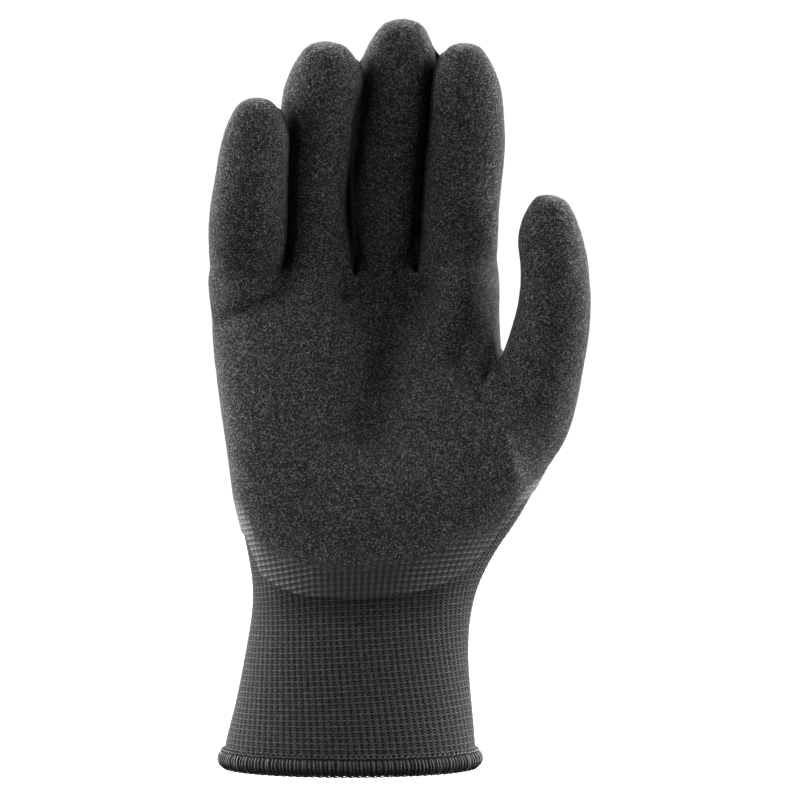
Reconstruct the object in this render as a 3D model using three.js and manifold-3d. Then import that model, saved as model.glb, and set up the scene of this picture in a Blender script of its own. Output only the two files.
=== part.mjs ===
// Insulated work glove for the right hand, in the form that it has on a hand: a seamless knitted
// shell, a dipped rubber coating over its palm, thumb and fingers, and an overlocked hem.
// Millimetres. +X is the thumb's side, the palm faces -Y and the fingers point to +Z.
// The origin is the middle of the wrist opening, level with the hem's lower edge.
import * as THREE from 'three';
import { mergeVertices } from 'three/addons/utils/BufferGeometryUtils.js';
import Module from 'manifold-3d';

// Layers, each measured inward from the coating's outer face
const COATING_THICKNESS = 0.9;
const LAYER_GAP = 0.3;
const KNIT_WALL = 2.0;
const KNIT_DEPTH = COATING_THICKNESS + LAYER_GAP;
const HOLLOW_DEPTH = KNIT_DEPTH + KNIT_WALL;
const HOLLOW_DEPTH_AT_WEB = HOLLOW_DEPTH + 1.6;

// Hem round the wrist opening: its height, how thick it is beside the knit that it wraps, how high
// the knit's edge stands in it, and the arc of its section, in degrees
const HEM_HEIGHT = 7;
const HEM_SIDE = 2.4;
const HEM_FLOOR = 1.5;
const HEM_INNER_CLEARANCE = 0.8;
const HEM_ARC_FROM = 62;
const HEM_ARC_TO = -242;
const HEM_ARC_STEPS = 8;

// Hand and cuff: one row for each level, with the outline's side, palm and back places there.
// Squareness 2 is an ellipse, and more is a fuller, flatter section.
const LEVELS = [
  { z: HEM_FLOOR + LAYER_GAP, left: -43.4, right: 43.6, palm: -28.5, back: 27.5, square: 2.0 },
  { z: 9, left: -43.0, right: 43.4, palm: -28.5, back: 27.5, square: 2.0 },
  { z: 23, left: -39.6, right: 42.2, palm: -27.0, back: 26.5, square: 2.0 },
  { z: 40, left: -36.3, right: 41.2, palm: -25.3, back: 25.5, square: 2.0 },
  { z: 57, left: -34.0, right: 43.2, palm: -24.0, back: 24.5, square: 2.0 },
  { z: 72, left: -35.5, right: 49.9, palm: -24.8, back: 23.0, square: 2.1 },
  { z: 86, left: -38.3, right: 58.9, palm: -26.2, back: 21.0, square: 2.4 },
  { z: 101, left: -40.4, right: 66.7, palm: -27.0, back: 19.5, square: 3.0 },
  { z: 122, left: -43.3, right: 57.0, palm: -25.6, back: 18.5, square: 3.0 },
  { z: 144, left: -46.0, right: 50.8, palm: -23.0, back: 17.0, square: 2.3 },
];
const COLUMN_REACHES = [-0.94, -0.75, -0.5, -0.25, 0, 0.25, 0.5, 0.75, 0.94];
const THUMB_LEVEL = 7;
const THUMB_COLUMN = COLUMN_REACHES.length;

// Root of the thumb: where its edge lies on the palm and on the back of the hand, at the three levels,
// and how far out the palm stands beside it
const THUMB_ROOT = [
  { besideY: -25.0, palmX: 60.0, palmY: -22.0, backX: 58.0, backY: 10.0 },
  { besideY: -24.4, palmX: 50.0, palmY: -24.0, backX: 47.0, backY: 14.0 },
  { besideY: -17.5, palmX: 48.0, palmY: -12.0, backX: 48.0, backY: 8.5 },
];

// Folds and hollows of the palm, as lines in its view; a fold fades out at both ends
const FOLDS = [
  { fromX: -23, fromZ: 162, toX: -33, toZ: 154, width: 3.6, depth: 2.4 },
  { fromX: -32, fromZ: 154.5, toX: -42, toZ: 151, width: 3.6, depth: 1.8 },
  { fromX: 1.5, fromZ: 166, toX: 8.5, toZ: 150, width: 6, depth: 5.5 },
  { fromX: 23.4, fromZ: 167, toX: 15.5, toZ: 150, width: 6, depth: 5.5 },
  { fromX: 12.5, fromZ: 157, toX: 11.5, toZ: 146, width: 11, depth: 8.5 },
  { fromX: 11.5, fromZ: 146, toX: 9.5, toZ: 132, width: 10, depth: 7.0 },
  { fromX: 9.5, fromZ: 132, toX: 7, toZ: 118, width: 9, depth: 4.5 },
  { fromX: 36.5, fromZ: 141, toX: 35.5, toZ: 137, width: 5, depth: 1.4 },
  { fromX: 49, fromZ: 141, toX: 43, toZ: 129.5, width: 3.2, depth: 2.6 },
];
const FOLD_FACING = 0.35;
// The hollow's net is coarser, so the folds press wider into it
const HOLLOW_FOLD_SPREAD = 1.5;

// Webs between the fingers, from the little finger's side to the forefinger's, at the palm, in the
// middle and at the back of the hand
const WEBS = [
  { x: -46.5, palmY: -9.5, palmZ: 163, midY: -2.5, midZ: 163, backY: 8.5, backZ: 161 },
  { x: -22.4, palmY: -12.5, palmZ: 167, midY: -2.5, midZ: 165, backY: 10.0, backZ: 160 },
  { x: 1.0, palmY: -10.5, palmZ: 166.5, midY: -0.5, midZ: 165, backY: 13.0, backZ: 161 },
  { x: 24.0, palmY: -10.5, palmZ: 167.5, midY: 0.0, midZ: 166, backY: 12.5, backZ: 161 },
  { x: 49.5, palmY: -7.5, palmZ: 164, midY: 1.0, midZ: 164, backY: 9.0, backZ: 161 },
];

// Fingers: the palm's and the back's places at the root, then a row for each section up the finger,
// with its middle, half its width and half its depth. Neighbouring fingers stay a little apart.
const FINGERS = [
  {
    palmRoot: { x: -34.8, y: -18.5, z: 158 },
    backRoot: { x: -34.5, y: 12.5, z: 156 },
    sections: [
      { x: -35.2, y: -10.5, z: 173, wide: 11.6, deep: 11.6 },
      { x: -34.2, y: -18.5, z: 184, wide: 12.1, deep: 11.4 },
      { x: -32.8, y: -25.3, z: 197, wide: 11.2, deep: 11.0 },
      { x: -30.4, y: -31.0, z: 212, wide: 10.0, deep: 9.2 },
    ],
    tip: { x: -29.8, y: -35.0, z: 222.3 },
  },
  {
    palmRoot: { x: -11.0, y: -19.5, z: 160 },
    backRoot: { x: -11.0, y: 15.5, z: 156 },
    sections: [
      { x: -11.5, y: -4.5, z: 176, wide: 11.0, deep: 11.4 },
      { x: -12.7, y: -8.0, z: 191, wide: 10.8, deep: 11.4 },
      { x: -12.0, y: -13.5, z: 206, wide: 11.4, deep: 11.2 },
      { x: -10.3, y: -21.0, z: 220.5, wide: 12.1, deep: 11.1 },
      { x: -7.7, y: -25.5, z: 231.5, wide: 11.7, deep: 10.0 },
    ],
    tip: { x: -7.2, y: -30.0, z: 241.0 },
  },
  {
    palmRoot: { x: 12.4, y: -12.5, z: 163 },
    backRoot: { x: 12.2, y: 17.5, z: 156 },
    sections: [
      { x: 12.1, y: 3.2, z: 177, wide: 11.2, deep: 11.6 },
      { x: 12.6, y: -0.4, z: 192, wide: 12.6, deep: 11.8 },
      { x: 13.8, y: -4.9, z: 208, wide: 13.2, deep: 11.7 },
      { x: 15.2, y: -11.8, z: 224, wide: 13.2, deep: 11.4 },
      { x: 16.6, y: -17.5, z: 238, wide: 11.8, deep: 10.4 },
    ],
    tip: { x: 17.7, y: -24.0, z: 249.2 },
  },
  {
    palmRoot: { x: 36.8, y: -20.5, z: 160 },
    backRoot: { x: 36.2, y: 15.5, z: 156 },
    sections: [
      { x: 37.1, y: -6.3, z: 176, wide: 12.6, deep: 12.0 },
      { x: 38.0, y: -9.5, z: 191, wide: 12.2, deep: 11.7 },
      { x: 39.3, y: -14.0, z: 206, wide: 12.4, deep: 11.4 },
      { x: 39.7, y: -19.0, z: 220.5, wide: 11.4, deep: 11.0 },
      { x: 38.7, y: -23.0, z: 231, wide: 10.2, deep: 9.4 },
    ],
    tip: { x: 37.9, y: -26.8, z: 241.0 },
  },
];

// Thumb: a row for each section up the thumb, by its outer and inner edge in the palm's view
const THUMB = {
  sections: [
    { outerX: 72.4, outerZ: 112, innerX: 51.4, innerZ: 140, y: -9.0, deep: 15.0 },
    { outerX: 76.6, outerZ: 128, innerX: 54.2, innerZ: 148, y: -13.0, deep: 13.4 },
    { outerX: 79.2, outerZ: 144, innerX: 56.3, innerZ: 158, y: -18.0, deep: 12.6 },
    { outerX: 79.7, outerZ: 160, innerX: 56.6, innerZ: 168.5, y: -23.0, deep: 11.7 },
    { outerX: 77.0, outerZ: 177, innerX: 55.8, innerZ: 179, y: -27.0, deep: 10.6 },
  ],
  tip: { x: 66.0, y: -32.0, z: 190.8 },
};

// Edge of the coating: its height at the palm and at the back of the hand, across the glove
const COATING_EDGE = [
  { x: -60, palm: 81, back: 81 },
  { x: -36, palm: 79, back: 81 },
  { x: -33, palm: 72.5, back: 84 },
  { x: -30, palm: 65.5, back: 94 },
  { x: -24, palm: 61.8, back: 110 },
  { x: -16, palm: 59.2, back: 121 },
  { x: 4, palm: 58.2, back: 129 },
  { x: 20, palm: 59.8, back: 128 },
  { x: 30, palm: 62.2, back: 122 },
  { x: 38, palm: 66.3, back: 113 },
  { x: 44, palm: 71.8, back: 105 },
  { x: 51, palm: 80.2, back: 98 },
  { x: 58, palm: 89, back: 95 },
  { x: 66, palm: 96, back: 96 },
  { x: 120, palm: 96, back: 96 },
];
const EDGE_TURN = 5;
const PLAN_REACH = 60;
const ABOVE_ALL = 300;

// Rounding of a fingertip: a last ring so far from the tip, and so wide, as shares of the section below
const CAP_REACH = 0.22;
const CAP_SIZE = 0.6;

// A ring round a finger or the thumb, and which of its points lies on its side axis
const RING = 8;
const FINGER_FIRST = 3;
const THUMB_FIRST = 1;

const FIT_ROUNDS = 12;
const WELD = 1e-4;

const wasm = await Module();
wasm.setup();

// Columns round the hand: over the palm from the little finger to the forefinger, round the thumb's
// side, back over the back of the hand, and the little finger's side
function columns() {
  const palm = COLUMN_REACHES.map((reach) => ({ reach, face: -1 }));
  const back = COLUMN_REACHES.map((reach) => ({ reach: -reach, face: 1 }));
  return [...palm, { reach: 1, face: 0 }, ...back, { reach: -1, face: 0 }];
}

function levelPoint(level, column) {
  const middle = (level.left + level.right) / 2;
  const half = (level.right - level.left) / 2;
  const middleY = (level.palm + level.back) / 2;
  const deep = (level.back - level.palm) / 2;
  const rise = (1 - Math.abs(column.reach) ** level.square) ** (1 / level.square);
  return new THREE.Vector3(middle + half * column.reach, middleY + column.face * deep * rise, level.z);
}

// A finger's or the thumb's sections as rings of eight points, each as deep as its half depth at right
// angles to the middle line and to its side, and a smaller ring that rounds the tip. The point numbered
// first lies at the end of the side.
function ringsOf(middles, sides, deeps, tip, first) {
  const rings = middles.map((middle, i) => {
    const along = (middles[i + 1] ?? tip).clone().sub(middles[Math.max(i - 1, 0)]);
    return ringAt(middle, sides[i], along.cross(sides[i]).setLength(deeps[i]), first);
  });
  const last = middles.at(-1);
  const cap = tip.clone().lerp(last, CAP_REACH);
  const capRing = rings.at(-1).map((point) => point.clone().sub(last).multiplyScalar(CAP_SIZE).add(cap));
  return [...rings, capRing];
}

function fingerRings(finger) {
  const middles = finger.sections.map((s) => new THREE.Vector3(s.x, s.y, s.z));
  const sides = finger.sections.map((s) => new THREE.Vector3(s.wide, 0, 0));
  const tip = new THREE.Vector3(finger.tip.x, finger.tip.y, finger.tip.z);
  return ringsOf(middles, sides, finger.sections.map((s) => s.deep), tip, FINGER_FIRST);
}

function thumbRings() {
  const outers = THUMB.sections.map((s) => new THREE.Vector3(s.outerX, s.y, s.outerZ));
  const inners = THUMB.sections.map((s) => new THREE.Vector3(s.innerX, s.y, s.innerZ));
  const middles = outers.map((outer, i) => outer.clone().lerp(inners[i], 0.5));
  const sides = outers.map((outer, i) => outer.clone().sub(middles[i]));
  const tip = new THREE.Vector3(THUMB.tip.x, THUMB.tip.y, THUMB.tip.z);
  return ringsOf(middles, sides, THUMB.sections.map((s) => s.deep), tip, THUMB_FIRST);
}

// Eight points round an ellipse
function ringAt(middle, side, back, first) {
  return Array.from({ length: RING }, (_, j) => {
    const turn = ((j - first) * 2 * Math.PI) / RING;
    return middle.clone().addScaledVector(side, Math.cos(turn)).addScaledVector(back, Math.sin(turn));
  });
}

// The glove's surface as a coarse net of four-sided faces, open at the wrist
function gloveNet() {
  const points = [];
  const faces = [];
  const webPoints = new Set();
  const add = (point) => points.push(point) - 1;
  const band = (lower, upper, skip = () => false) => {
    for (let j = 0; j < lower.length; j += 1) {
      const next = (j + 1) % lower.length;
      if (!skip(j)) faces.push([lower[j], lower[next], upper[next], upper[j]]);
    }
  };
  const close = (ring, tip) => {
    const top = add(new THREE.Vector3(tip.x, tip.y, tip.z));
    for (let j = 0; j < RING; j += 2) faces.push([ring[j], ring[j + 1], ring[(j + 2) % RING], top]);
  };
  const tube = (root, rings, tip) => {
    const top = rings.reduce((lower, ring) => {
      const upper = ring.map(add);
      band(lower, upper);
      return upper;
    }, root);
    close(top, tip);
  };

  // The thumb's root is a hole in the hand: the point in its middle is left out
  const hand = LEVELS.map((level, k) =>
    columns().map((column, c) =>
      k === THUMB_LEVEL + 1 && c === THUMB_COLUMN ? null : add(levelPoint(level, column)),
    ),
  );
  THUMB_ROOT.forEach((root, k) => {
    const level = hand[THUMB_LEVEL + k];
    const { z } = LEVELS[THUMB_LEVEL + k];
    points[level[THUMB_COLUMN - 2]].y = root.besideY;
    points[level[THUMB_COLUMN - 1]].set(root.palmX, root.palmY, z);
    points[level[THUMB_COLUMN + 1]].set(root.backX, root.backY, z);
  });

  const webs = WEBS.map((web) => ({
    palm: add(new THREE.Vector3(web.x, web.palmY, web.palmZ)),
    mid: add(new THREE.Vector3(web.x, web.midY, web.midZ)),
    back: add(new THREE.Vector3(web.x, web.backY, web.backZ)),
  }));
  webs.slice(1, -1).forEach((web) => webPoints.add(web.palm).add(web.mid).add(web.back));
  const roots = FINGERS.map((finger) => ({
    palm: add(new THREE.Vector3(finger.palmRoot.x, finger.palmRoot.y, finger.palmRoot.z)),
    back: add(new THREE.Vector3(finger.backRoot.x, finger.backRoot.y, finger.backRoot.z)),
  }));
  const palmEdge = webs.flatMap((web, i) => (roots[i] ? [web.palm, roots[i].palm] : [web.palm]));
  const backEdge = webs.flatMap((web, i) => (roots[i] ? [web.back, roots[i].back] : [web.back]));
  const knuckles = [...palmEdge, webs.at(-1).mid, ...backEdge.reverse(), webs[0].mid];

  [...hand, knuckles].reduce((lower, upper, k) => {
    const atThumb = k === THUMB_LEVEL + 1 || k === THUMB_LEVEL + 2;
    band(lower, upper, (j) => atThumb && (j === THUMB_COLUMN - 1 || j === THUMB_COLUMN));
    return upper;
  });

  FINGERS.forEach((finger, i) => {
    const [a, b] = [webs[i], webs[i + 1]];
    const root = [a.palm, roots[i].palm, b.palm, b.mid, b.back, roots[i].back, a.back, a.mid];
    tube(root, fingerRings(finger), finger.tip);
  });

  const [low, mid, high] = hand
    .slice(THUMB_LEVEL, THUMB_LEVEL + 3)
    .map((level) => level.slice(THUMB_COLUMN - 1, THUMB_COLUMN + 2));
  tube([...low, mid[2], ...high.reverse(), mid[0]], thumbRings(), THUMB.tip);
  return { points, faces, webPoints };
}

function edgeKey(a, b) {
  return a < b ? `${a},${b}` : `${b},${a}`;
}

// Neighbours of each point: the ends of its edges, the far corners of its faces, and, on the open
// rim, its two neighbours along the rim
function neighbours(net) {
  const around = net.points.map(() => ({ edges: new Set(), corners: [], rim: [] }));
  const uses = new Map();
  for (const face of net.faces) {
    face.forEach((a, i) => {
      const b = face[(i + 1) % 4];
      around[a].edges.add(b);
      around[b].edges.add(a);
      around[a].corners.push(face[(i + 2) % 4]);
      uses.set(edgeKey(a, b), (uses.get(edgeKey(a, b)) ?? 0) + 1);
    });
  }
  for (const [key, count] of uses) {
    if (count === 2) continue;
    const [a, b] = key.split(',').map(Number);
    around[a].rim.push(b);
    around[b].rim.push(a);
  }
  return around;
}

// Where each point of the net ends on the smooth surface that it shapes
function limitPoints(net, around = neighbours(net)) {
  return net.points.map((point, i) => {
    const { edges, corners, rim } = around[i];
    const sum = new THREE.Vector3();
    if (rim.length) {
      rim.forEach((j) => sum.add(net.points[j]));
      return sum.addScaledVector(point, 4).divideScalar(6);
    }
    const n = edges.size;
    edges.forEach((j) => sum.addScaledVector(net.points[j], 4));
    corners.forEach((j) => sum.add(net.points[j]));
    return sum.addScaledVector(point, n * n).divideScalar(n * (n + 5));
  });
}

// Moves the net's points until its smooth surface runs through the places they were given
function fitNet(net) {
  const around = neighbours(net);
  const targets = net.points.map((point) => point.clone());
  for (let i = 0; i < FIT_ROUNDS; i += 1) {
    const reached = limitPoints(net, around);
    net.points.forEach((point, j) => point.add(targets[j]).sub(reached[j]));
  }
  return net;
}

// One Catmull-Clark step: each face becomes four
function subdivide(net) {
  const around = neighbours(net);
  const points = net.points.map(() => new THREE.Vector3());
  const middle = net.faces.map((face) => {
    const sum = new THREE.Vector3();
    face.forEach((i) => sum.add(net.points[i]));
    return points.push(sum.divideScalar(4)) - 1;
  });
  const edges = new Map();
  net.faces.forEach((face, f) => {
    face.forEach((a, i) => {
      const b = face[(i + 1) % 4];
      const key = edgeKey(a, b);
      if (!edges.has(key)) edges.set(key, { ends: [a, b], faces: [] });
      edges.get(key).faces.push(f);
    });
  });
  for (const edge of edges.values()) {
    const place = net.points[edge.ends[0]].clone().add(net.points[edge.ends[1]]);
    if (edge.faces.length === 2) edge.faces.forEach((f) => place.add(points[middle[f]]));
    edge.index = points.push(place.divideScalar(edge.faces.length === 2 ? 4 : 2)) - 1;
  }
  const faceSum = net.points.map(() => new THREE.Vector3());
  net.faces.forEach((face, f) => face.forEach((i) => faceSum[i].add(points[middle[f]])));
  net.points.forEach((point, i) => {
    const { edges: ends, rim } = around[i];
    if (rim.length) {
      points[i].copy(point).multiplyScalar(6);
      rim.forEach((j) => points[i].add(net.points[j]));
      points[i].divideScalar(8);
      return;
    }
    const n = ends.size;
    ends.forEach((j) => points[i].add(net.points[j]));
    points[i].divideScalar(n).add(faceSum[i].divideScalar(n));
    points[i].addScaledVector(point, n - 2).divideScalar(n);
  });
  const at = (a, b) => edges.get(edgeKey(a, b)).index;
  const faces = net.faces.flatMap((face, f) =>
    face.map((a, i) => [a, at(a, face[(i + 1) % 4]), middle[f], at(face[(i + 3) % 4], a)]),
  );
  return { points, faces };
}

// Points on the smooth surface with the outward direction at each
function surfaceOf(net) {
  const points = limitPoints(net);
  const normals = points.map(() => new THREE.Vector3());
  for (const [a, b, c, d] of net.faces) {
    const diagonal = points[c].clone().sub(points[a]);
    const outward = diagonal.cross(points[d].clone().sub(points[b]));
    [a, b, c, d].forEach((i) => normals[i].add(outward));
  }
  const around = neighbours(net);
  normals.forEach((normal, i) => {
    if (around[i].rim.length) normal.z = 0;
    normal.normalize();
  });
  return { points, normals, faces: net.faces };
}

// How far the palm's folds, spread to so many times their width, sink below its smooth form at a place
// in the palm's view
function foldDepth(x, z, spread) {
  return FOLDS.reduce((deepest, { fromX, fromZ, toX, toZ, width, depth }) => {
    const [alongX, alongZ] = [toX - fromX, toZ - fromZ];
    const share = ((x - fromX) * alongX + (z - fromZ) * alongZ) / (alongX ** 2 + alongZ ** 2);
    const near = THREE.MathUtils.clamp(share, 0, 1);
    const away = Math.hypot(x - fromX - near * alongX, z - fromZ - near * alongZ);
    return Math.max(deepest, depth * Math.exp(-((away / (width * spread)) ** 2)));
  }, 0);
}

// Presses the folds into the surface where it faces the palm's side
function pressFolds(surface, spread) {
  surface.points.forEach((point, i) => {
    const facing = THREE.MathUtils.smoothstep(-surface.normals[i].y, FOLD_FACING, 1);
    point.addScaledVector(surface.normals[i], -facing * foldDepth(point.x, point.z, spread));
  });
  return surface;
}

// The surface moved inward by a depth that may differ from point to point
function layer(surface, depth) {
  return surface.points.map((point, i) => point.clone().addScaledVector(surface.normals[i], -depth(i)));
}

// Triangles of the net's faces, each face cut along the diagonal that is shorter on the surface
function trianglesOf(surface) {
  return surface.faces.flatMap(([a, b, c, d]) => {
    const { points } = surface;
    const first = points[a].distanceTo(points[c]) <= points[b].distanceTo(points[d]);
    return first ? [[a, b, c], [a, c, d]] : [[a, b, d], [b, c, d]];
  });
}

// The open rim's points in order round the wrist, in the direction of the faces that they bound
function rimOf(faces) {
  const steps = new Map();
  for (const face of faces) {
    face.forEach((a, i) => {
      const b = face[(i + 1) % 4];
      steps.set(`${a},${b}`, [a, b]);
    });
  }
  const after = new Map([...steps.values()].filter(([a, b]) => !steps.has(`${b},${a}`)));
  const rim = [after.keys().next().value];
  while (after.get(rim.at(-1)) !== rim[0]) rim.push(after.get(rim.at(-1)));
  return rim;
}

function geometryOf(points, triangles) {
  const geometry = new THREE.BufferGeometry().setFromPoints(points);
  geometry.setIndex(triangles.flat());
  return geometry;
}

// A closed wall between an outer layer and an inner one of the same net, or of one a step coarser
function wallGeometry(outer, outerPoints, inner, innerPoints) {
  const shift = outerPoints.length;
  const triangles = trianglesOf(outer);
  trianglesOf(inner).forEach(([a, b, c]) => triangles.push([c + shift, b + shift, a + shift]));
  const outerRim = rimOf(outer.faces);
  const innerRim = rimOf(inner.faces).map((i) => i + shift);
  const step = outerRim.length / innerRim.length;
  innerRim.forEach((a, j) => {
    const b = innerRim[(j + 1) % innerRim.length];
    const along = Array.from({ length: step + 1 }, (_, k) => outerRim[(j * step + k) % outerRim.length]);
    along.slice(1).forEach((end, k) => triangles.push([end, along[k], k < step / 2 ? a : b]));
    triangles.push([along[Math.ceil(step / 2)], a, b]);
  });
  return geometryOf([...outerPoints, ...innerPoints], triangles);
}

function solidOf(geometry) {
  const merged = mergeVertices(geometry, WELD);
  const mesh = new wasm.Mesh({
    numProp: 3,
    vertProperties: new Float32Array(merged.attributes.position.array),
    triVerts: new Uint32Array(merged.index.array),
  });
  return new wasm.Manifold(mesh);
}

function geometryFrom(solid) {
  const { vertProperties, triVerts, numProp } = solid.getMesh();
  const geometry = new THREE.BufferGeometry();
  geometry.setAttribute('position', new THREE.BufferAttribute(vertProperties, numProp));
  geometry.setIndex(new THREE.BufferAttribute(triVerts, 1));
  return geometry;
}

// Height of the coating's edge over a place in plan
function coatingEdge(x, y) {
  const after = Math.max(1, COATING_EDGE.findIndex((row) => row.x >= x));
  const [a, b] = [COATING_EDGE[after - 1], COATING_EDGE[after]];
  const share = (x - a.x) / (b.x - a.x);
  const turn = THREE.MathUtils.smoothstep(y, -EDGE_TURN, EDGE_TURN);
  const palm = THREE.MathUtils.lerp(a.palm, b.palm, share);
  const back = THREE.MathUtils.lerp(a.back, b.back, share);
  return THREE.MathUtils.lerp(palm, back, turn);
}

// The space above the coating's edge, whose floor is a grid over the plan
function dippedSpace() {
  const lines = COATING_EDGE.map((row) => row.x);
  const depths = [-PLAN_REACH, -EDGE_TURN, -EDGE_TURN / 2, 0, EDGE_TURN / 2, EDGE_TURN, PLAN_REACH];
  const points = [];
  for (const top of [false, true]) {
    for (const y of depths) {
      for (const x of lines) points.push(new THREE.Vector3(x, y, top ? ABOVE_ALL : coatingEdge(x, y)));
    }
  }
  const wide = lines.length;
  const lift = wide * depths.length;
  const quads = [];
  for (let j = 0; j + 1 < depths.length; j += 1) {
    for (let i = 0; i + 1 < wide; i += 1) {
      const a = j * wide + i;
      quads.push([a, a + wide, a + wide + 1, a + 1]);
      quads.push([a + lift, a + 1 + lift, a + wide + 1 + lift, a + wide + lift]);
    }
  }
  const edge = (a, b) => quads.push([a, b, b + lift, a + lift]);
  for (let i = 0; i + 1 < wide; i += 1) {
    edge(i, i + 1);
    edge(lift - 1 - i, lift - 2 - i);
  }
  for (let j = 0; j + 1 < depths.length; j += 1) {
    edge((j + 1) * wide - 1, (j + 2) * wide - 1);
    edge(lift - (j + 1) * wide, lift - (j + 2) * wide);
  }
  return geometryOf(points, quads.flatMap(([a, b, c, d]) => [[a, b, c], [a, c, d]]));
}

// The hem's section: a round bead with a slot that holds the knit's edge. Across is measured outward
// from the knit's outer face.
function hemSection() {
  const slotOut = LAYER_GAP;
  const slotIn = -KNIT_WALL - HEM_INNER_CLEARANCE;
  const middle = (slotOut + slotIn) / 2;
  const reach = (slotOut - slotIn) / 2 + HEM_SIDE;
  const half = HEM_HEIGHT / 2;
  const section = Array.from({ length: HEM_ARC_STEPS + 1 }, (_, i) => {
    const degrees = THREE.MathUtils.lerp(HEM_ARC_FROM, HEM_ARC_TO, i / HEM_ARC_STEPS);
    const turn = THREE.MathUtils.degToRad(degrees);
    return { across: middle + reach * Math.cos(turn), z: half + half * Math.sin(turn) };
  });
  const lip = section[0].z - LAYER_GAP;
  return [
    ...section,
    { across: slotIn, z: lip },
    { across: slotIn, z: HEM_FLOOR },
    { across: slotOut, z: HEM_FLOOR },
    { across: slotOut, z: lip },
  ];
}

function hemGeometry(surface, knitPoints) {
  const rim = rimOf(surface.faces);
  const section = hemSection();
  const points = rim.flatMap((i) =>
    section.map(({ across, z }) => {
      const point = knitPoints[i].clone().addScaledVector(surface.normals[i], across);
      return point.setZ(z);
    }),
  );
  const triangles = [];
  rim.forEach((_, i) => {
    section.forEach((__, j) => {
      const [a, b] = [i * section.length, ((i + 1) % rim.length) * section.length];
      const next = (j + 1) % section.length;
      triangles.push([a + j, a + next, b + next], [a + j, b + next, b + j]);
    });
  });
  return geometryOf(points, triangles);
}

function piece(name, geometry, material) {
  const mesh = new THREE.Mesh(geometry, material);
  mesh.name = name;
  return mesh;
}

const coatingRubber = new THREE.MeshStandardMaterial({ color: 0x2b2b2c, roughness: 0.85, metalness: 0 });
const knitYarn = new THREE.MeshStandardMaterial({ color: 0x262627, roughness: 0.95, metalness: 0 });
const hemThread = new THREE.MeshStandardMaterial({ color: 0x1b1b1c, roughness: 0.8, metalness: 0 });

const coarseNet = fitNet(gloveNet());
const fine = pressFolds(surfaceOf(subdivide(coarseNet)), 1);
const coarse = pressFolds(surfaceOf(coarseNet), HOLLOW_FOLD_SPREAD);
const knitOuter = layer(fine, () => KNIT_DEPTH);
const hollow = layer(coarse, (i) => (coarseNet.webPoints.has(i) ? HOLLOW_DEPTH_AT_WEB : HOLLOW_DEPTH));

const knit = wallGeometry(fine, knitOuter, coarse, hollow);
const coatingSkin = wallGeometry(fine, fine.points, fine, layer(fine, () => COATING_THICKNESS));
const coating = geometryFrom(solidOf(coatingSkin).intersect(solidOf(dippedSpace())));
const hem = hemGeometry(fine, knitOuter);

const glove = new THREE.Group();
glove.add(piece('knit_shell', knit, knitYarn));
glove.add(piece('nitrile_coating', coating, coatingRubber));
glove.add(piece('cuff_hem', hem, hemThread));
export default glove;
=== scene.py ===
import math
from collections import namedtuple

import bpy
import numpy as np
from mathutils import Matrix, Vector, noise
from mathutils.kdtree import KDTree


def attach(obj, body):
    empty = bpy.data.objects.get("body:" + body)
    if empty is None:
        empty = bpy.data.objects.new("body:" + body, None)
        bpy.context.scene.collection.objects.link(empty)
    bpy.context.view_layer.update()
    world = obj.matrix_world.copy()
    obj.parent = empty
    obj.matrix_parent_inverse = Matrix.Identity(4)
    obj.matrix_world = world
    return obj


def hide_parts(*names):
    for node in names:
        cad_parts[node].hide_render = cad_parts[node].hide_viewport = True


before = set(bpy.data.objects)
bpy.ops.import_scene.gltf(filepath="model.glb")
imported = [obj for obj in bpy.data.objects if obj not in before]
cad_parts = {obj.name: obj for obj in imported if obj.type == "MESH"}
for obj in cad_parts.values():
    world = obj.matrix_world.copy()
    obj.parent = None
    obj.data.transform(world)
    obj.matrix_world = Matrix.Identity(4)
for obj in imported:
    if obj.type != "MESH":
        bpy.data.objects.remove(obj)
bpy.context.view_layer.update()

# Insulated work glove for the right hand. The tables below are in millimetres, in the frame's own
# axes: +X is the thumb's side, the palm faces -Y and the fingers point to +Z. Meshes are in metres.
MM = 0.001

# Layers, each measured inward from the coating's outer face
KNIT_DEPTH = 1.2
KNIT_WALL = 2.0
HOLLOW_DEPTH = KNIT_DEPTH + KNIT_WALL
COATING_INSIDE = 1.1
COATING_INSIDE_AT_EDGE = 1.55

# Hand and cuff: one row for each level, with the outline's side, palm and back places there
Level = namedtuple("Level", "z left right palm back square")
LEVELS = [
    Level(1.8, -43.4, 43.6, -28.5, 27.5, 2.0),
    Level(9, -43.0, 43.4, -28.5, 27.5, 2.0),
    Level(23, -39.6, 42.2, -27.0, 26.5, 2.0),
    Level(40, -36.3, 41.2, -25.3, 25.5, 2.0),
    Level(57, -34.0, 43.2, -24.0, 24.5, 2.0),
    Level(72, -35.5, 49.9, -24.8, 23.0, 2.1),
    Level(86, -38.3, 58.9, -26.2, 21.0, 2.4),
    Level(101, -40.4, 66.7, -27.0, 19.5, 3.0),
    Level(122, -43.3, 57.0, -25.6, 18.5, 3.0),
    Level(144, -46.0, 50.8, -23.0, 17.0, 2.3),
]
COLUMN_REACHES = (-0.94, -0.75, -0.5, -0.25, 0, 0.25, 0.5, 0.75, 0.94)
COLUMNS = 2 * len(COLUMN_REACHES) + 2
THUMB_LEVEL = 7
THUMB_COLUMN = len(COLUMN_REACHES)

# Root of the thumb, where its edge lies on the palm and on the back of the hand, at three levels
ThumbRoot = namedtuple("ThumbRoot", "beside_y palm_x palm_y back_x back_y")
THUMB_ROOT = [
    ThumbRoot(-24.2, 59.5, -18.8, 58.0, 10.0),
    ThumbRoot(-24.4, 50.0, -24.0, 52.0, 11.5),
    ThumbRoot(-17.5, 48.0, -12.0, 48.0, 8.5),
]

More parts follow.
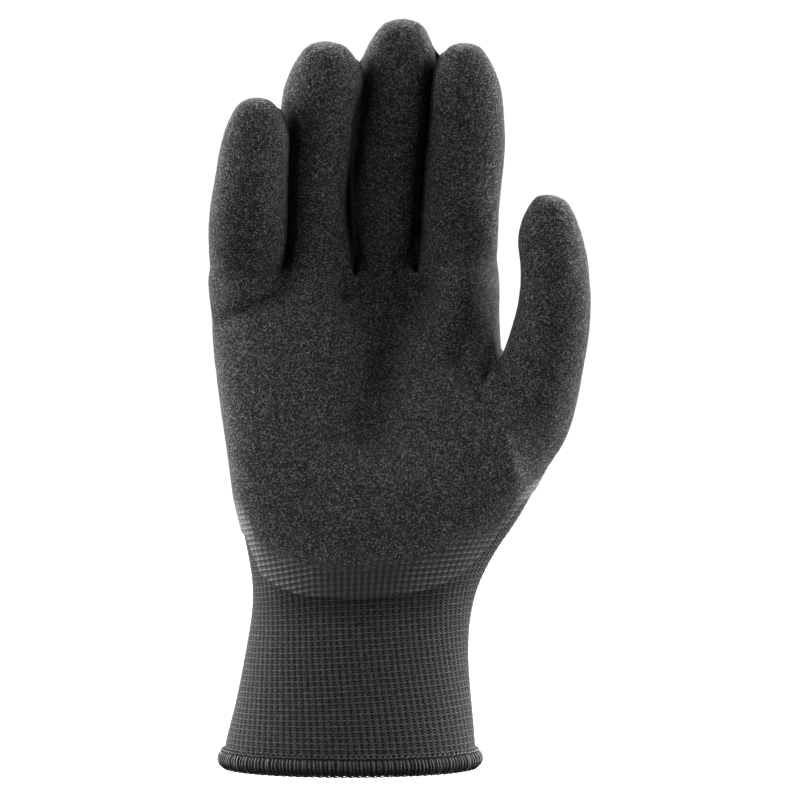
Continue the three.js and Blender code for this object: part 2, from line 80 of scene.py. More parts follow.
# Webs between the fingers, from the little finger's side to the forefinger's: a palm, a middle and a
# back point at each place
WEBS = [
    [(-46.5, -9.5, 163), (-46.5, -2.5, 163), (-46.5, 8.5, 161)],
    [(-22.4, -12.5, 167), (-22.4, -2.5, 165), (-22.4, 10.0, 160)],
    [(2.0, -9.5, 164.5), (2.0, -0.5, 164.5), (2.0, 13.0, 161)],
    [(22.4, -9.0, 165.5), (22.4, 0.0, 165.5), (22.4, 12.5, 161)],
    [(49.5, -7.5, 164), (49.5, 1.0, 164), (49.5, 9.0, 161)],
]

# Fingers: the palm's and the back's places at the root, the sections up the finger, and the tip
Section = namedtuple("Section", "x y z wide deep")
Finger = namedtuple("Finger", "palm_root back_root sections tip")
FINGERS = [
    Finger((-34.8, -18.5, 158), (-34.5, 12.5, 156), [
        Section(-34.4, -10.5, 173, 12.4, 11.6),
        Section(-33.7, -18.5, 184, 12.6, 11.4),
        Section(-32.3, -25.3, 197, 11.7, 11.0),
        Section(-30.3, -31.0, 212.0, 10.1, 9.2),
    ], (-29.8, -35.0, 222.3)),
    Finger((-11.0, -19.5, 160), (-11.0, 15.5, 156), [
        Section(-11.5, -4.5, 176, 11.1, 11.4),
        Section(-12.7, -8.0, 191, 10.8, 11.4),
        Section(-11.8, -13.5, 206, 11.7, 11.2),
        Section(-10.3, -21.0, 220.5, 12.1, 11.1),
        Section(-7.7, -25.5, 231.5, 11.7, 10.0),
    ], (-7.2, -30.0, 241.0)),
    Finger((12.4, -12.5, 163), (12.2, 17.5, 156), [
        Section(12.1, 3.2, 177, 11.2, 11.6),
        Section(12.6, -0.4, 192, 12.6, 11.8),
        Section(13.8, -4.9, 208, 13.5, 11.7),
        Section(15.5, -11.8, 224, 13.6, 11.4),
        Section(16.8, -17.5, 238, 12.0, 10.4),
    ], (17.7, -24.0, 249.2)),
    Finger((36.8, -20.5, 160), (36.2, 15.5, 156), [
        Section(37.1, -6.3, 176, 12.6, 12.0),
        Section(37.7, -9.5, 191, 12.5, 11.7),
        Section(38.9, -14.0, 206, 12.8, 11.4),
        Section(39.2, -19.0, 220.5, 11.9, 11.0),
        Section(38.5, -23.0, 231, 10.4, 9.4),
    ], (37.9, -26.8, 241.0)),
]

# Thumb: a row for each section, by its outer and inner edge in the palm's view
ThumbSection = namedtuple("ThumbSection", "outer_x outer_z inner_x inner_z y deep")
THUMB = [
    ThumbSection(72.4, 112, 51.4, 140, -9.0, 15.0),
    ThumbSection(76.6, 128, 54.2, 148, -13.0, 13.4),
    ThumbSection(79.2, 144, 56.3, 158, -18.0, 12.6),
    ThumbSection(79.7, 160, 56.6, 168.5, -23.0, 11.7),
    ThumbSection(77.0, 177, 55.8, 179, -27.0, 10.6),
]
THUMB_TIP = (66.0, -32.0, 190.8)

# Rings round the fingers and the thumb: their first points, and the smaller ring near the tip
CAP_REACH = 0.22
CAP_SIZE = 0.6
RING = 8
FINGER_FIRST = 3
THUMB_FIRST = 1
FIT_ROUNDS = 12

# Pressing neighbouring fingers together. Of the two, the one farther back gives way
TOUCH_GAP = 0.1
TOUCH_FADE = (2.5, 5.0)
TOUCH_ROUNDS = 5
TOUCH_SOFTENING = 3
TOUCH_SLIDING = 0.5
TOUCH_SIDEWAYS = 0.1
FACING_FADE = (0.15, 0.5)
BEHIND_FADE = (-0.3, 0.2)
FRONT_SHARE = 0.15
BACK_SHARE = 0.9

# Folds of the palm, as lines in its view; a fold fades out at both ends and where the face turns away
Fold = namedtuple("Fold", "from_x from_z to_x to_z width depth")
FOLDS = [
    Fold(-23, 162, -33, 154, 3.6, 2.4),
    Fold(-32, 154.5, -42, 151, 3.6, 1.8),
    Fold(3.0, 164, 9.0, 150, 6, 9.0),
    Fold(20.5, 165, 15.5, 150, 6, 9.0),
    Fold(12.5, 156, 11.5, 144, 11, 11.5),
    Fold(11.5, 144, 9.5, 131, 10, 10.5),
    Fold(9.5, 131, 6, 117, 10, 6.5),
    Fold(36.5, 141, 35.5, 137, 5, 1.4),
    Fold(49, 141, 43, 129.5, 3.2, 2.6),
]
FOLD_FACING = 0.35

# The broad hollow in the middle of the palm
PALM_HOLLOW = [Fold(9, 148, 5, 122, 21, 6.0), Fold(29, 137, 24, 127, 11, 2.6)]

# Narrow creases: below the little finger, at the thumb's root and below the forefinger
CREASES = [
    Fold(-22.5, 172, -22.5, 166, 1.5, 1.6),
    Fold(-22.5, 166, -24.5, 161, 1.5, 1.6),
    Fold(-24.5, 161, -29.5, 156.5, 1.2, 4.0),
    Fold(-29.5, 156.5, -36, 153.5, 1.1, 3.8),
    Fold(-36, 153.5, -42.5, 151.5, 1.0, 2.8),
    Fold(49.0, 138.5, 45.0, 132.5, 1.6, 4.6),
    Fold(45.0, 132.5, 42.5, 125.5, 1.4, 3.2),
    Fold(42.5, 125.5, 44.0, 119, 2.4, 0.8),
    Fold(36.5, 138.5, 39.5, 131, 4.0, 3.2),
]

# Edge of the coating across the glove: x, and its height at the palm and at the back of the hand
COATING_EDGE = [
    (-60, 81, 81),
    (-36, 79, 81),
    (-33, 72.5, 84),
    (-30, 65.5, 94),
    (-24, 61.8, 110),
    (-16, 59.2, 121),
    (4, 58.2, 129),
    (20, 59.8, 128),
    (30, 62.2, 122),
    (38, 66.3, 113),
    (44, 71.8, 105),
    (51, 80.2, 98),
    (58, 89, 95),
    (66, 96, 96),
    (120, 96, 96),
]
EDGE_TURN = 5

# The coat: how far its thin first dip shows below the sandy foam, and how it thins to its edge
BAND_HEIGHT = 13
EDGE_THINNING = 0.62
LIP_HEIGHT = 0.7
LIP_ROUNDING = 0.3
LIP_DEPTHS = (1.25, COATING_INSIDE_AT_EDGE)
INSIDE_FROM = 1.5

# Its relief: lumps of the foam by size and height, and the knit's ribs that show through the band
FOAM_LUMPS = ((9.0, 0.16), (3.4, 0.08), (1.7, 0.05))
FOAM_FADE = (7, 15)
RIB_HEIGHT = 0.13
RIB_FADE = (8, 17)
RIB_EVEN = 0.75

# The band is narrower towards the thumb
NARROW_FROM = 36
NARROW_FULL = 50
NARROW_BAND = 0.35

# How fine the coat's mesh is: finest in the band, and coarser at the back than at the palm
BAND_STEPS = 5
PALM_STEPS = 4
BACK_STEPS = 3
INSIDE_STEPS = 2
PALM_FACING = 0.3
FINE_BELOW = 24
FINEST_BELOW = 17

# The knit: stitches round the glove, height of a course, and the yarn's relief
WALES = 92
COURSE = 0.94
SAMPLES_PER_WALE = 4
SAMPLES_PER_COURSE = 2
KNIT_UNDER_COAT = 3.0
KNIT_RIDGE = 0.08
KNIT_HOLE = 0.45
KNIT_GROOVE = 0.4

# Courses lie square to the wales, so they droop a little towards the little finger's side
COURSE_DROOP = 0.16
DROOP_FROM_X = -12
DROOP_FADE = (45, 62)
COURSE_TILT = 0.05
TILT_FADE = (5, 30)

# Wales lean this much towards the thumb as they come down the palm
WALE_LEAN = 0.17

# The upright line that angles round the glove are measured from
LOOP_AXIS = (4.0, -1.0)

# The hem's bead and the slot in it that holds the knit's edge
HEM_HEIGHT = 7
HEM_SIDE = 2.4
HEM_FLOOR = 1.5
HEM_INNER_CLEARANCE = 0.8
HEM_SLOT_GAP = 0.3
HEM_SLOT_IN = -KNIT_WALL - HEM_INNER_CLEARANCE
HEM_MIDDLE = (HEM_SLOT_GAP + HEM_SLOT_IN) / 2
HEM_REACH = (HEM_SLOT_GAP - HEM_SLOT_IN) / 2 + HEM_SIDE
HEM_HALF = HEM_HEIGHT / 2
HEM_ARC_FROM = 62
HEM_ARC_TO = -242
HEM_ARC_STEPS = 20
HEM_CORE_SINK = 0.45

# The threads wrapped round the bead, and how unevenly they lie
THREAD_RADIUS = 0.46
THREAD_PITCH = 1.25
THREAD_STEPS = 14
THREAD_SIDES = 6
WRAP_ARC_INSET = 4
WRAP_UNEVEN = 0.12
WRAP_SLANT = 1.1
WRAP_SLANT_UNEVEN = 0.3
WRAP_WANDER = 0.07
WRAP_RISE = 0.05
WRAP_SINK = 0.25
WRAP_END = 0.06
WRAP_END_SINK = 0.5
WRAP_SIZES = (0.75, 1.1)

# The two threads along the hem: where they lie on the bead in degrees and how they loop there
Stitch = namedtuple("Stitch", "turn swing pitch radius rise")
UPPER_STITCH = Stitch(64, 9, 1.9, 0.24, 0.3)
LOWER_STITCH = Stitch(-70, 3, 2.5, 0.2, -0.3)
STITCH_STEPS = 8
STITCH_SWAY = 0.3
STITCH_UNEVEN = 0.3

# Colours
FOAM_COLOUR = (0.22, 0.22, 0.224)
BAND_COLOUR = (0.022, 0.022, 0.023)
# The ribs' colour is a painted highlight on their crests
RIB_HIGHLIGHT_COLOUR = (0.175, 0.175, 0.177)
YARN_COLOUR = (0.15, 0.15, 0.152)
# The holes' colour is painted shade between the wales
HOLE_SHADE_COLOUR = (0.001, 0.001, 0.001)
FLEECE_COLOUR = (0.03, 0.03, 0.031)
FLOOR_COLOUR = (0.4, 0.4, 0.4)
BLACK = (0, 0, 0)

# Grain of the foam, its change of tone, and the painted shade that darkens it where a finger faces its
# neighbour
FOAM_GRAIN = 0.32
GRAIN_SHADES = (0.06, 0.9)
PATCH_SIZE = 6.0
PATCH_CHANGE = 0.12
GROOVE_SHADE_FADE = (0.2, 0.9)
GROOVE_SHADE_LIGHTNESS = 0.4
TORN_SIZE = 4.0
TORN_REACH = 4.5

# The band's ribs carry painted highlights, faint in the middle of the palm and full farther out, where
# light grazes
BAND_MIDDLE_X = 4
BAND_HIGHLIGHT_FROM = 8
BAND_HIGHLIGHT_FULL = 24
HIGHLIGHT_AT_MIDDLE = 0.1
COLUMN_HIGHLIGHT = 0.25

# Painted shadow: the yarn is darkened just below the coat's edge in the middle of the palm, where the hand
# overhangs the wrist
EDGE_SHADOW_HEIGHTS = (1.0, 13.0)
EDGE_SHADOW_DARKENING = 0.42
EDGE_SHADOW_FADE = 8
FIBRE_SIZE = 0.3

# The studio: its lights, the directions where one changes to the next, and the floor
FRONT_LIGHT = 0.1
BOX_LIGHT = 9.8
BELOW_LIGHT = 0.1
BELOW_FADE = (-0.6, 0.0)
BEHIND_LIGHT = 1.0
BOXES_START = (-1.1, 0.3)
BOXES_END = (0.6, 0.85)
BOXES_UPRIGHT = 0.6
BACKDROP_LIGHT = 1.05
FLOOR_LEVEL = -60.0
FLOOR_REACH = 3000.0

# The camera looks along +Y from a metre away; its place is in metres
CAMERA_PLACE = (0.0169, -1.0, 0.1241)
CAMERA_SENSOR = 36
CAMERA_VIEW = 0.2698
CAMERA_CLIP = 0.05


def smoothstep(value, low, high):
    share = np.clip((value - low) / (high - low), 0, 1)
    return share * share * (3 - 2 * share)


def level_point(level, reach, face):
    middle, half = (level.left + level.right) / 2, (level.right - level.left) / 2
    middle_y, deep = (level.palm + level.back) / 2, (level.back - level.palm) / 2
    rise = (1 - abs(reach) ** level.square) ** (1 / level.square)
    return (middle + half * reach, middle_y + face * deep * rise, level.z)


def rings_of(middles, sides, deeps, tip, first):
    """Rings along a finger or the thumb, and a smaller one that rounds its tip."""
    middles, sides, tip = np.array(middles, float), np.array(sides, float), np.array(tip, float)
    turns = (np.arange(RING) - first) * 2 * math.pi / RING
    rings = []
    for i, (middle, side, deep) in enumerate(zip(middles, sides, deeps)):
        onward = middles[i + 1] if i + 1 < len(middles) else tip
        back = np.cross(onward - middles[max(i - 1, 0)], side)
        back = back / np.linalg.norm(back) * deep
        rings.append(middle + np.outer(np.cos(turns), side) + np.outer(np.sin(turns), back))
    cap = tip + (middles[-1] - tip) * CAP_REACH
    rings.append((rings[-1] - middles[-1]) * CAP_SIZE + cap)
    return rings


def finger_rings(finger):
    middles = [section[:3] for section in finger.sections]
    sides = [(section.wide, 0, 0) for section in finger.sections]
    return rings_of(middles, sides, [s.deep for s in finger.sections], finger.tip, FINGER_FIRST)


def thumb_rings():
    outers = np.array([(s.outer_x, s.y, s.outer_z) for s in THUMB])
    inners = np.array([(s.inner_x, s.y, s.inner_z) for s in THUMB])
    middles = (outers + inners) / 2
    return rings_of(middles, outers - middles, [s.deep for s in THUMB], THUMB_TIP, THUMB_FIRST)


class Net:
    """The glove's surface as a coarse net of four-sided faces, open at the wrist."""

    def __init__(self):
        self.points, self.faces, self.hand_faces, self.fingers = [], [], {}, []
        round_hand = [(reach, -1) for reach in COLUMN_REACHES] + [(1, 0)]
        round_hand += [(-reach, 1) for reach in COLUMN_REACHES] + [(-1, 0)]
        hand = [self.add_all(level_point(level, *column) for column in round_hand) for level in LEVELS]
        for ring, level, root in zip(hand[THUMB_LEVEL:], LEVELS[THUMB_LEVEL:], THUMB_ROOT):
            beside = ring[THUMB_COLUMN - 2]
            self.points[beside] = (self.points[beside][0], root.beside_y, level.z)
            self.points[ring[THUMB_COLUMN - 1]] = (root.palm_x, root.palm_y, level.z)
            self.points[ring[THUMB_COLUMN + 1]] = (root.back_x, root.back_y, level.z)
        webs = [self.add_all(web) for web in WEBS]
        roots = [self.add_all((finger.palm_root, finger.back_root)) for finger in FINGERS]
        self.add_hand(hand, webs, roots)
        for finger, (palm, back), left, right in zip(FINGERS, roots, webs, webs[1:]):
            first = len(self.faces)
            root = [left[0], palm, *right, back, left[2], left[1]]
            self.add_tube(root, finger_rings(finger), finger.tip)
            self.fingers.append((first, len(self.faces)))
        low, middle, high = (
            ring[THUMB_COLUMN - 1:THUMB_COLUMN + 2] for ring in hand[THUMB_LEVEL:THUMB_LEVEL + 3]
        )
        self.add_tube([*low, middle[2], *high[::-1], middle[0]], thumb_rings(), THUMB_TIP)
        self.drop_unused()

    def add_all(self, points):
        first = len(self.points)
        self.points += [tuple(point) for point in points]
        return list(range(first, len(self.points)))

    def add_hand(self, hand, webs, roots):
        palm_edge, back_edge = [webs[0][0]], [webs[0][2]]
        for root, web in zip(roots, webs[1:]):
            palm_edge += [root[0], web[0]]
            back_edge += [root[1], web[2]]
        knuckles = palm_edge + [webs[-1][1]] + back_edge[::-1] + [webs[0][1]]
        rings = hand + [knuckles]
        for k in range(len(hand)):
            at_thumb = k in (THUMB_LEVEL, THUMB_LEVEL + 1)
            for j in range(COLUMNS):
                if at_thumb and j in (THUMB_COLUMN - 1, THUMB_COLUMN):
                    continue
                after = (j + 1) % COLUMNS
                self.hand_faces[k, j] = len(self.faces)
                self.faces.append((rings[k][j], rings[k][after], rings[k + 1][after], rings[k + 1][j]))

    def add_tube(self, lower, rings, tip):
        for ring in rings:
            upper = self.add_all(ring)
            for j in range(RING):
                after = (j + 1) % RING
                self.faces.append((lower[j], lower[after], upper[after], upper[j]))
            lower = upper
        top, = self.add_all([tip])
        for j in range(0, RING, 2):
            self.faces.append((lower[j], lower[j + 1], lower[(j + 2) % RING], top))

    def drop_unused(self):
        """The point in the middle of the thumb's root belongs to no face."""
        faces = np.array(self.faces)
        used, renumbered = np.unique(faces, return_inverse=True)
        self.points = np.array(self.points, float)[used]
        self.faces = renumbered.reshape(faces.shape)


def total(count, index, values):
    """Sum of the rows of values that have each index."""
    return np.stack([np.bincount(index, weights=column, minlength=count) for column in values.T], axis=1)


def at_corners(faces, count, values):
    """Sum, at each point, of the values of its faces."""
    return total(count, faces.ravel(), np.repeat(values, 4, axis=0))


def edges_of(faces, count):
    """The net's edges, the edge at each side of a face, and how many faces each edge has."""
    ends = np.sort(np.stack([faces, np.roll(faces, -1, axis=1)], axis=2).reshape(-1, 2), axis=1)
    codes, side, uses = np.unique(ends[:, 0] * count + ends[:, 1], return_inverse=True, return_counts=True)
    return np.stack(np.divmod(codes, count), axis=1), side.reshape(faces.shape), uses


def sums_around(points, faces):
    """For each point its count of edges, the sums of their far ends and of its faces' far corners,
    whether it is on the open rim, and the sum of its neighbours there."""
    count = len(points)
    edges, _, uses = edges_of(faces, count)
    a, b = edges.T
    valence = np.bincount(edges.ravel(), minlength=count)[:, None]
    ends = total(count, a, points[b]) + total(count, b, points[a])
    corners = total(count, faces.ravel(), points[np.roll(faces, -2, axis=1)].reshape(-1, 3))
    ra, rb = edges[uses == 1].T
    rim = total(count, ra, points[rb]) + total(count, rb, points[ra])
    on_rim = np.isin(np.arange(count), edges[uses == 1])[:, None]
    return valence, ends, corners, on_rim, rim


def limit_points(points, faces):
    """Where each point of the net ends on the smooth surface that it shapes."""
    valence, ends, corners, on_rim, rim = sums_around(points, faces)
    inside = (points * valence**2 + 4 * ends + corners) / (valence * (valence + 5))
    return np.where(on_rim, (4 * points + rim) / 6, inside)


def fit_net(points, faces):
    """Moves the net's points until its smooth surface runs through the given places."""
    targets = points.copy()
    for _ in range(FIT_ROUNDS):
        points = points + targets - limit_points(points, faces)
    return points


def subdivide(points, faces):
    """One Catmull-Clark step. The old points keep their numbers, and face f becomes faces 4f to 4f+3."""
    count = len(points)
    edges, side, uses = edges_of(faces, count)
    middles = points[faces].mean(axis=1)
    beside = at_corners(side, len(edges), middles)
    halves = points[edges].sum(axis=1)
    edge_points = np.where((uses == 2)[:, None], (halves + beside) / 4, halves / 2)
    valence, ends, _, on_rim, rim = sums_around(points, faces)
    inside = ((ends + at_corners(faces, count, middles)) / valence + (valence - 2) * points) / valence
    kept = np.where(on_rim, (6 * points + rim) / 8, inside)
    centre = np.repeat(count + np.arange(len(faces))[:, None], 4, axis=1)
    after = count + len(faces) + side
    children = np.stack([faces, after, centre, np.roll(after, 1, axis=1)], axis=2)
    return np.concatenate([kept, middles, edge_points]), children.reshape(-1, 4), after


def normals_of(points, faces):
    """Outward direction at each point; on the open rim it is level."""
    corners = points[faces]
    across = np.cross(corners[:, 2] - corners[:, 0], corners[:, 3] - corners[:, 1])
    normals = at_corners(faces, len(points), across)
    edges, _, uses = edges_of(faces, len(points))
    normals[np.unique(edges[uses == 1]), 2] = 0
    return normals / np.linalg.norm(normals, axis=1, keepdims=True)


def fold_depth(points, folds):
    """How far the folds sink at each point, in the palm's view."""
    x, z = points[:, 0], points[:, 2]
    deepest = np.zeros_like(x)
    for fold in folds:
        along_x, along_z = fold.to_x - fold.from_x, fold.to_z - fold.from_z
        share = ((x - fold.from_x) * along_x + (z - fold.from_z) * along_z) / (along_x**2 + along_z**2)
        near = np.clip(share, 0, 1)
        away = np.hypot(x - fold.from_x - near * along_x, z - fold.from_z - near * along_z)
        deepest = np.maximum(deepest, fold.depth * np.exp(-((away / fold.width) ** 2)))
    return deepest


def above_edge(points):
    """Height of each point above the coating's edge."""
    x, y, z = points.T
    across, palms, backs = np.array(COATING_EDGE, float).T
    palm, back = np.interp(x, across, palms), np.interp(x, across, backs)
    return z - (palm + (back - palm) * smoothstep(y, -EDGE_TURN, EDGE_TURN))


def toward(points, normals, own, other):
    """How far each point moves to meet the finger beside its own, and from 0 to 1 how closely it faces
    that finger. Where the sides turn to the palm, a groove is left between them."""
    tree = KDTree(len(other))
    for i, point in enumerate(points[other]):
        tree.insert(point, i)
    tree.balance()
    beside = other[[tree.find(point)[1] for point in points[own]]]
    way = points[beside] + normals[beside] * TOUCH_GAP - points[own]
    facing = smoothstep(-normals[beside, 0] * normals[own, 0], *FACING_FADE)
    near = 1 - smoothstep(np.linalg.norm(way, axis=1), *TOUCH_FADE)
    reach = (way * normals[own]).sum(axis=1)
    behind = np.where(reach > 0, smoothstep(normals[own, 1], *BEHIND_FADE), 1)
    share = BACK_SHARE if points[own, 1].mean() > points[other, 1].mean() else FRONT_SHARE
    straight = normals[own] * reach[:, None]
    way = straight + (way - straight) * TOUCH_SLIDING
    return way * (share * facing * near * behind)[:, None], facing * near


def softened(values, faces):
    """Values averaged with those around them, so that the pressed sides stay smooth."""
    around = np.bincount(faces.ravel(), minlength=len(values))[:, None]
    for _ in range(TOUCH_SOFTENING):
        values = at_corners(faces, len(values), values[faces].mean(axis=1)) / around
    return values


def press_together(points, faces, fingers):
    """Presses the sides of neighbouring fingers flat to each other. Returns the points and their
    closeness to a finger beside them, from 0 to 1."""
    closeness = np.zeros(len(points))
    for _ in range(TOUCH_ROUNDS):
        normals = normals_of(points, faces)
        moves = np.zeros_like(points)
        for (first, last), (next_first, next_last) in zip(fingers, fingers[1:]):
            left, right = np.unique(faces[first:last]), np.unique(faces[next_first:next_last])
            left = left[normals[left, 0] > TOUCH_SIDEWAYS]
            right = right[normals[right, 0] < -TOUCH_SIDEWAYS]
            for own, other in ((left, right), (right, left)):
                way, close = toward(points, normals, own, other)
                moves[own] += way
                closeness[own] = np.maximum(closeness[own], close)
        points = points + softened(moves, faces)
    return points, softened(closeness[:, None], faces)[:, 0]


class Surface:
    """The subdivided surface, with all levels' faces numbered by the finest level's points."""

    def __init__(self, steps):
        net = Net()
        points = fit_net(net.points, net.faces)
        self.hand_faces = net.hand_faces
        self.levels, self.afters, self.counts = [net.faces], [], [len(points)]
        for _ in range(steps):
            points, faces, after = subdivide(points, self.levels[-1])
            self.levels.append(faces)
            self.afters.append(after)
            self.counts.append(len(points))
        fingers = [(first * 4**steps, last * 4**steps) for first, last in net.fingers]
        points, self.closeness = press_together(limit_points(points, faces), faces, fingers)
        normals = normals_of(points, faces)
        facing = smoothstep(-normals[:, 1], FOLD_FACING, 1)
        sunk = facing * (fold_depth(points, FOLDS + CREASES) + fold_depth(points, PALM_HOLLOW))
        self.points = points - normals * sunk[:, None]
        self.normals = normals_of(self.points, faces)

    def part(self, steps):
        """Points, normals and faces of one level."""
        count = self.counts[steps]
        return self.points[:count], self.normals[:count], self.levels[steps]


def hand_grid(surface, steps):
    """Points and normals of the hand as rows up the glove and columns round it. The thumb's root
    leaves a hole, which isn't a number there."""
    points, normals, faces = surface.part(steps)
    cut = 2**steps
    grid = np.full(((len(LEVELS) - 1) * cut + 1, COLUMNS * cut, 6), np.nan)
    places = np.array([[(0, 0), (1, 0), (1, 1), (0, 1)]], float)
    for _ in range(steps):
        after = (places + np.roll(places, -1, axis=1)) / 2
        centre = np.repeat(places.mean(axis=1, keepdims=True), 4, axis=1)
        places = np.stack([places, after, centre, np.roll(after, 1, axis=1)], axis=2).reshape(-1, 4, 2)
    steps_in = np.rint(places * cut).astype(int)
    for (k, j), f in surface.hand_faces.items():
        if k + 1 < len(LEVELS):
            own = faces[f * 4**steps:(f + 1) * 4**steps]
            rows, columns = k * cut + steps_in[..., 1], (j * cut + steps_in[..., 0]) % (COLUMNS * cut)
            grid[rows, columns] = np.concatenate([points[own], normals[own]], axis=-1)
    return grid


def level_rows(grid, courses, heights):
    """The grid's columns cut at even heights along the courses."""
    rows = np.full((len(heights), grid.shape[1], 6), np.nan)
    for c in range(grid.shape[1]):
        there = np.isfinite(courses[:, c])
        top = len(there) if there.all() else int(np.argmin(there))
        reach = heights <= courses[top - 1, c]
        for part in range(6):
            rows[reach, c, part] = np.interp(heights[reach], courses[:top, c], grid[:top, c, part])
    return rows


def walked_along(line):
    """Length walked to each point of a line."""
    return np.concatenate([[0], np.cumsum(np.linalg.norm(np.diff(line, axis=0), axis=1))])


def even_wales(rows, heights, count):
    """Each row's points spread evenly round the glove. Where rows have a hole, the columns keep the
    places that they have below it."""
    spread, turns = [], np.arange(count) / count
    for row, height in zip(rows, heights):
        loop = np.concatenate([row, row[:1]])
        if np.isfinite(row[:, 0]).all():
            walked = walked_along(loop[:, :2])
            along = np.mod(turns * walked[-1] - WALE_LEAN * height, walked[-1])
            places = np.interp(along, walked, np.arange(len(loop)))
        spread.append(np.stack([np.interp(places, np.arange(len(loop)), part) for part in loop.T], axis=1))
    return np.array(spread)


def knit_relief(wale, course):
    """Height of the yarn: a ridge at every second course, and holes between the wales."""
    ridge = np.cos(math.pi * course)
    between = 0.5 - 0.5 * np.cos(2 * math.pi * wale)
    below = 0.5 - 0.5 * np.cos(2 * math.pi * course)
    return KNIT_RIDGE * ridge - KNIT_HOLE * between * (KNIT_GROOVE + (1 - KNIT_GROOVE) * below)


def clip(polygons, height):
    """Keeps what lies above height 0. Returns the polygons, the new points as (end, end, share), and
    each rim point's next one."""
    new, cuts, kept, rim = {}, [], [], {}

    def crossing(a, b):
        key = (min(a, b), max(a, b))
        if key not in new:
            new[key] = len(height) + len(cuts)
            cuts.append((*key, height[key[0]] / (height[key[0]] - height[key[1]])))
        return new[key]

    above = (height > 0).tolist()
    for polygon in polygons:
        inside = [above[i] for i in polygon]
        if all(inside):
            kept.append(tuple(polygon))
        elif any(inside):
            shape, crossings = [], {}
            for a, b in zip(polygon, [*polygon[1:], polygon[0]]):
                if above[a]:
                    shape.append(a)
                if above[a] != above[b]:
                    crossings[above[a]] = crossing(a, b)
                    shape.append(crossings[above[a]])
            kept.append(tuple(shape))
            rim[crossings[True]] = crossings[False]
    return kept, cuts, rim


def with_cuts(values, cuts):
    """Values at the points and, after them, at the new points that a cut makes."""
    if not cuts:
        return values
    a, b, share = (np.array(column) for column in zip(*cuts))
    share = share[:, None] if values.ndim > 1 else share
    return np.concatenate([values, values[a] + (values[b] - values[a]) * share])


def loop_of(rim):
    """The longest closed loop of a rim given as next points."""
    left, longest = dict(rim), []
    while left:
        start = next(iter(left))
        loop, here = [start], left.pop(start)
        while here in left:
            loop.append(here)
            here = left.pop(here)
        longest = max(longest, loop, key=len)
    return longest


def open_rim(faces):
    """The open rim's points in the order of the faces that they bound."""
    steps = {(face[i], face[(i + 1) % len(face)]) for face in faces for i in range(len(face))}
    return loop_of({a: b for a, b in steps if (b, a) not in steps})


def turn_of(points):
    """Angle of each point round the glove."""
    return np.arctan2(points[..., 1] - LOOP_AXIS[1], points[..., 0] - LOOP_AXIS[0])


def unrolled(points, loop):
    """A loop round the glove by rising angle, its angles, and whether it was reversed."""
    is_reversed = np.diff(np.unwrap(turn_of(points[loop]))).sum() < 0
    loop = loop[::-1] if is_reversed else loop
    start = int(np.argmin(turn_of(points[loop])))
    loop = loop[start:] + loop[:start]
    turns = np.unwrap(turn_of(points[loop]))
    return loop + loop[:1], np.append(turns, turns[0] + 2 * math.pi), is_reversed


def zip_loops(points, one, other):
    """Triangles between two loops round the glove, the first one in the order of its faces."""
    a_loop, a_turns, flip = unrolled(points, one)
    b_loop, b_turns, _ = unrolled(points, other)
    triangles, i, j = [], 0, 0
    while i + 1 < len(a_loop) or j + 1 < len(b_loop):
        at_end = j + 1 == len(b_loop)
        if i + 1 < len(a_loop) and (at_end or a_turns[i + 1] <= b_turns[j + 1]):
            triangles.append((a_loop[i + 1], a_loop[i], b_loop[j]))
            i += 1
        else:
            triangles.append((a_loop[i], b_loop[j], b_loop[j + 1]))
            j += 1
    return [triangle[::-1] for triangle in triangles] if flip else triangles


def strips(lower, upper):
    """Four-sided faces between rows of points that close round."""
    corners = [lower, np.roll(lower, -1, axis=-1), np.roll(upper, -1, axis=-1), upper]
    return np.stack(corners, axis=-1).reshape(-1, 4)


class Sheets:
    """Points and polygons gathered from several sheets into one mesh."""

    def __init__(self):
        self.points, self.polygons, self.count = [], [], 0

    def add(self, points, polygons, flip=False):
        """Adds only the points that the polygons use, and returns where each one went."""
        used = np.unique(np.fromiter((i for polygon in polygons for i in polygon), int))
        place = np.full(len(points), -1)
        place[used] = self.count + np.arange(len(used))
        self.points.append(points[used])
        place = place.tolist()
        for polygon in polygons:
            moved = [place[i] for i in polygon]
            self.polygons.append(tuple(moved[::-1] if flip else moved))
        self.count += len(used)
        return place

    def joined(self):
        return np.concatenate(self.points)


def add_object(name, data):
    made = bpy.data.objects.new(name, data)
    bpy.context.scene.collection.objects.link(made)
    return made


def mesh_object(name, points, polygons):
    mesh = bpy.data.meshes.new(name)
    mesh.from_pydata((points * MM).tolist(), [], polygons)
    mesh.validate()
    mesh.shade_smooth()
    return add_object(name, mesh)


def course_height(points):
    """Height of a place above the wrist, counted along the knit's courses."""
    x, z = points[..., 0], points[..., 2]
    droop = COURSE_DROOP * np.maximum(0, DROOP_FROM_X - x) * smoothstep(z, *DROOP_FADE)
    return z + droop - COURSE_TILT * x * smoothstep(z, *TILT_FADE)


def attribute(piece, name, values):
    made = piece.data.attributes.new(name, "FLOAT", "POINT")
    made.data.foreach_set("value", np.asarray(values, np.float32))


def knit_uv(piece, places):
    """A UV map in wales and courses that closes round the glove."""
    mesh = piece.data
    corners, starts = np.empty(len(mesh.loops), int), np.empty(len(mesh.polygons), int)
    mesh.loops.foreach_get("vertex_index", corners)
    mesh.polygons.foreach_get("loop_start", starts)
    uv = places[corners]
    widest = np.maximum.reduceat(uv[:, 0], starts)
    owner = np.repeat(np.arange(len(starts)), np.diff(np.append(starts, len(corners))))
    uv[widest[owner] - uv[:, 0] > WALES / 2, 0] += WALES
    mesh.uv_layers.new(name="knit").data.foreach_set("uv", uv.astype(np.float32).ravel())


def bumps(points, scale):
    """Soft noise from -1 to 1 at each point, with lumps of the given size."""
    return np.array([noise.noise(Vector(point) / scale) for point in points])


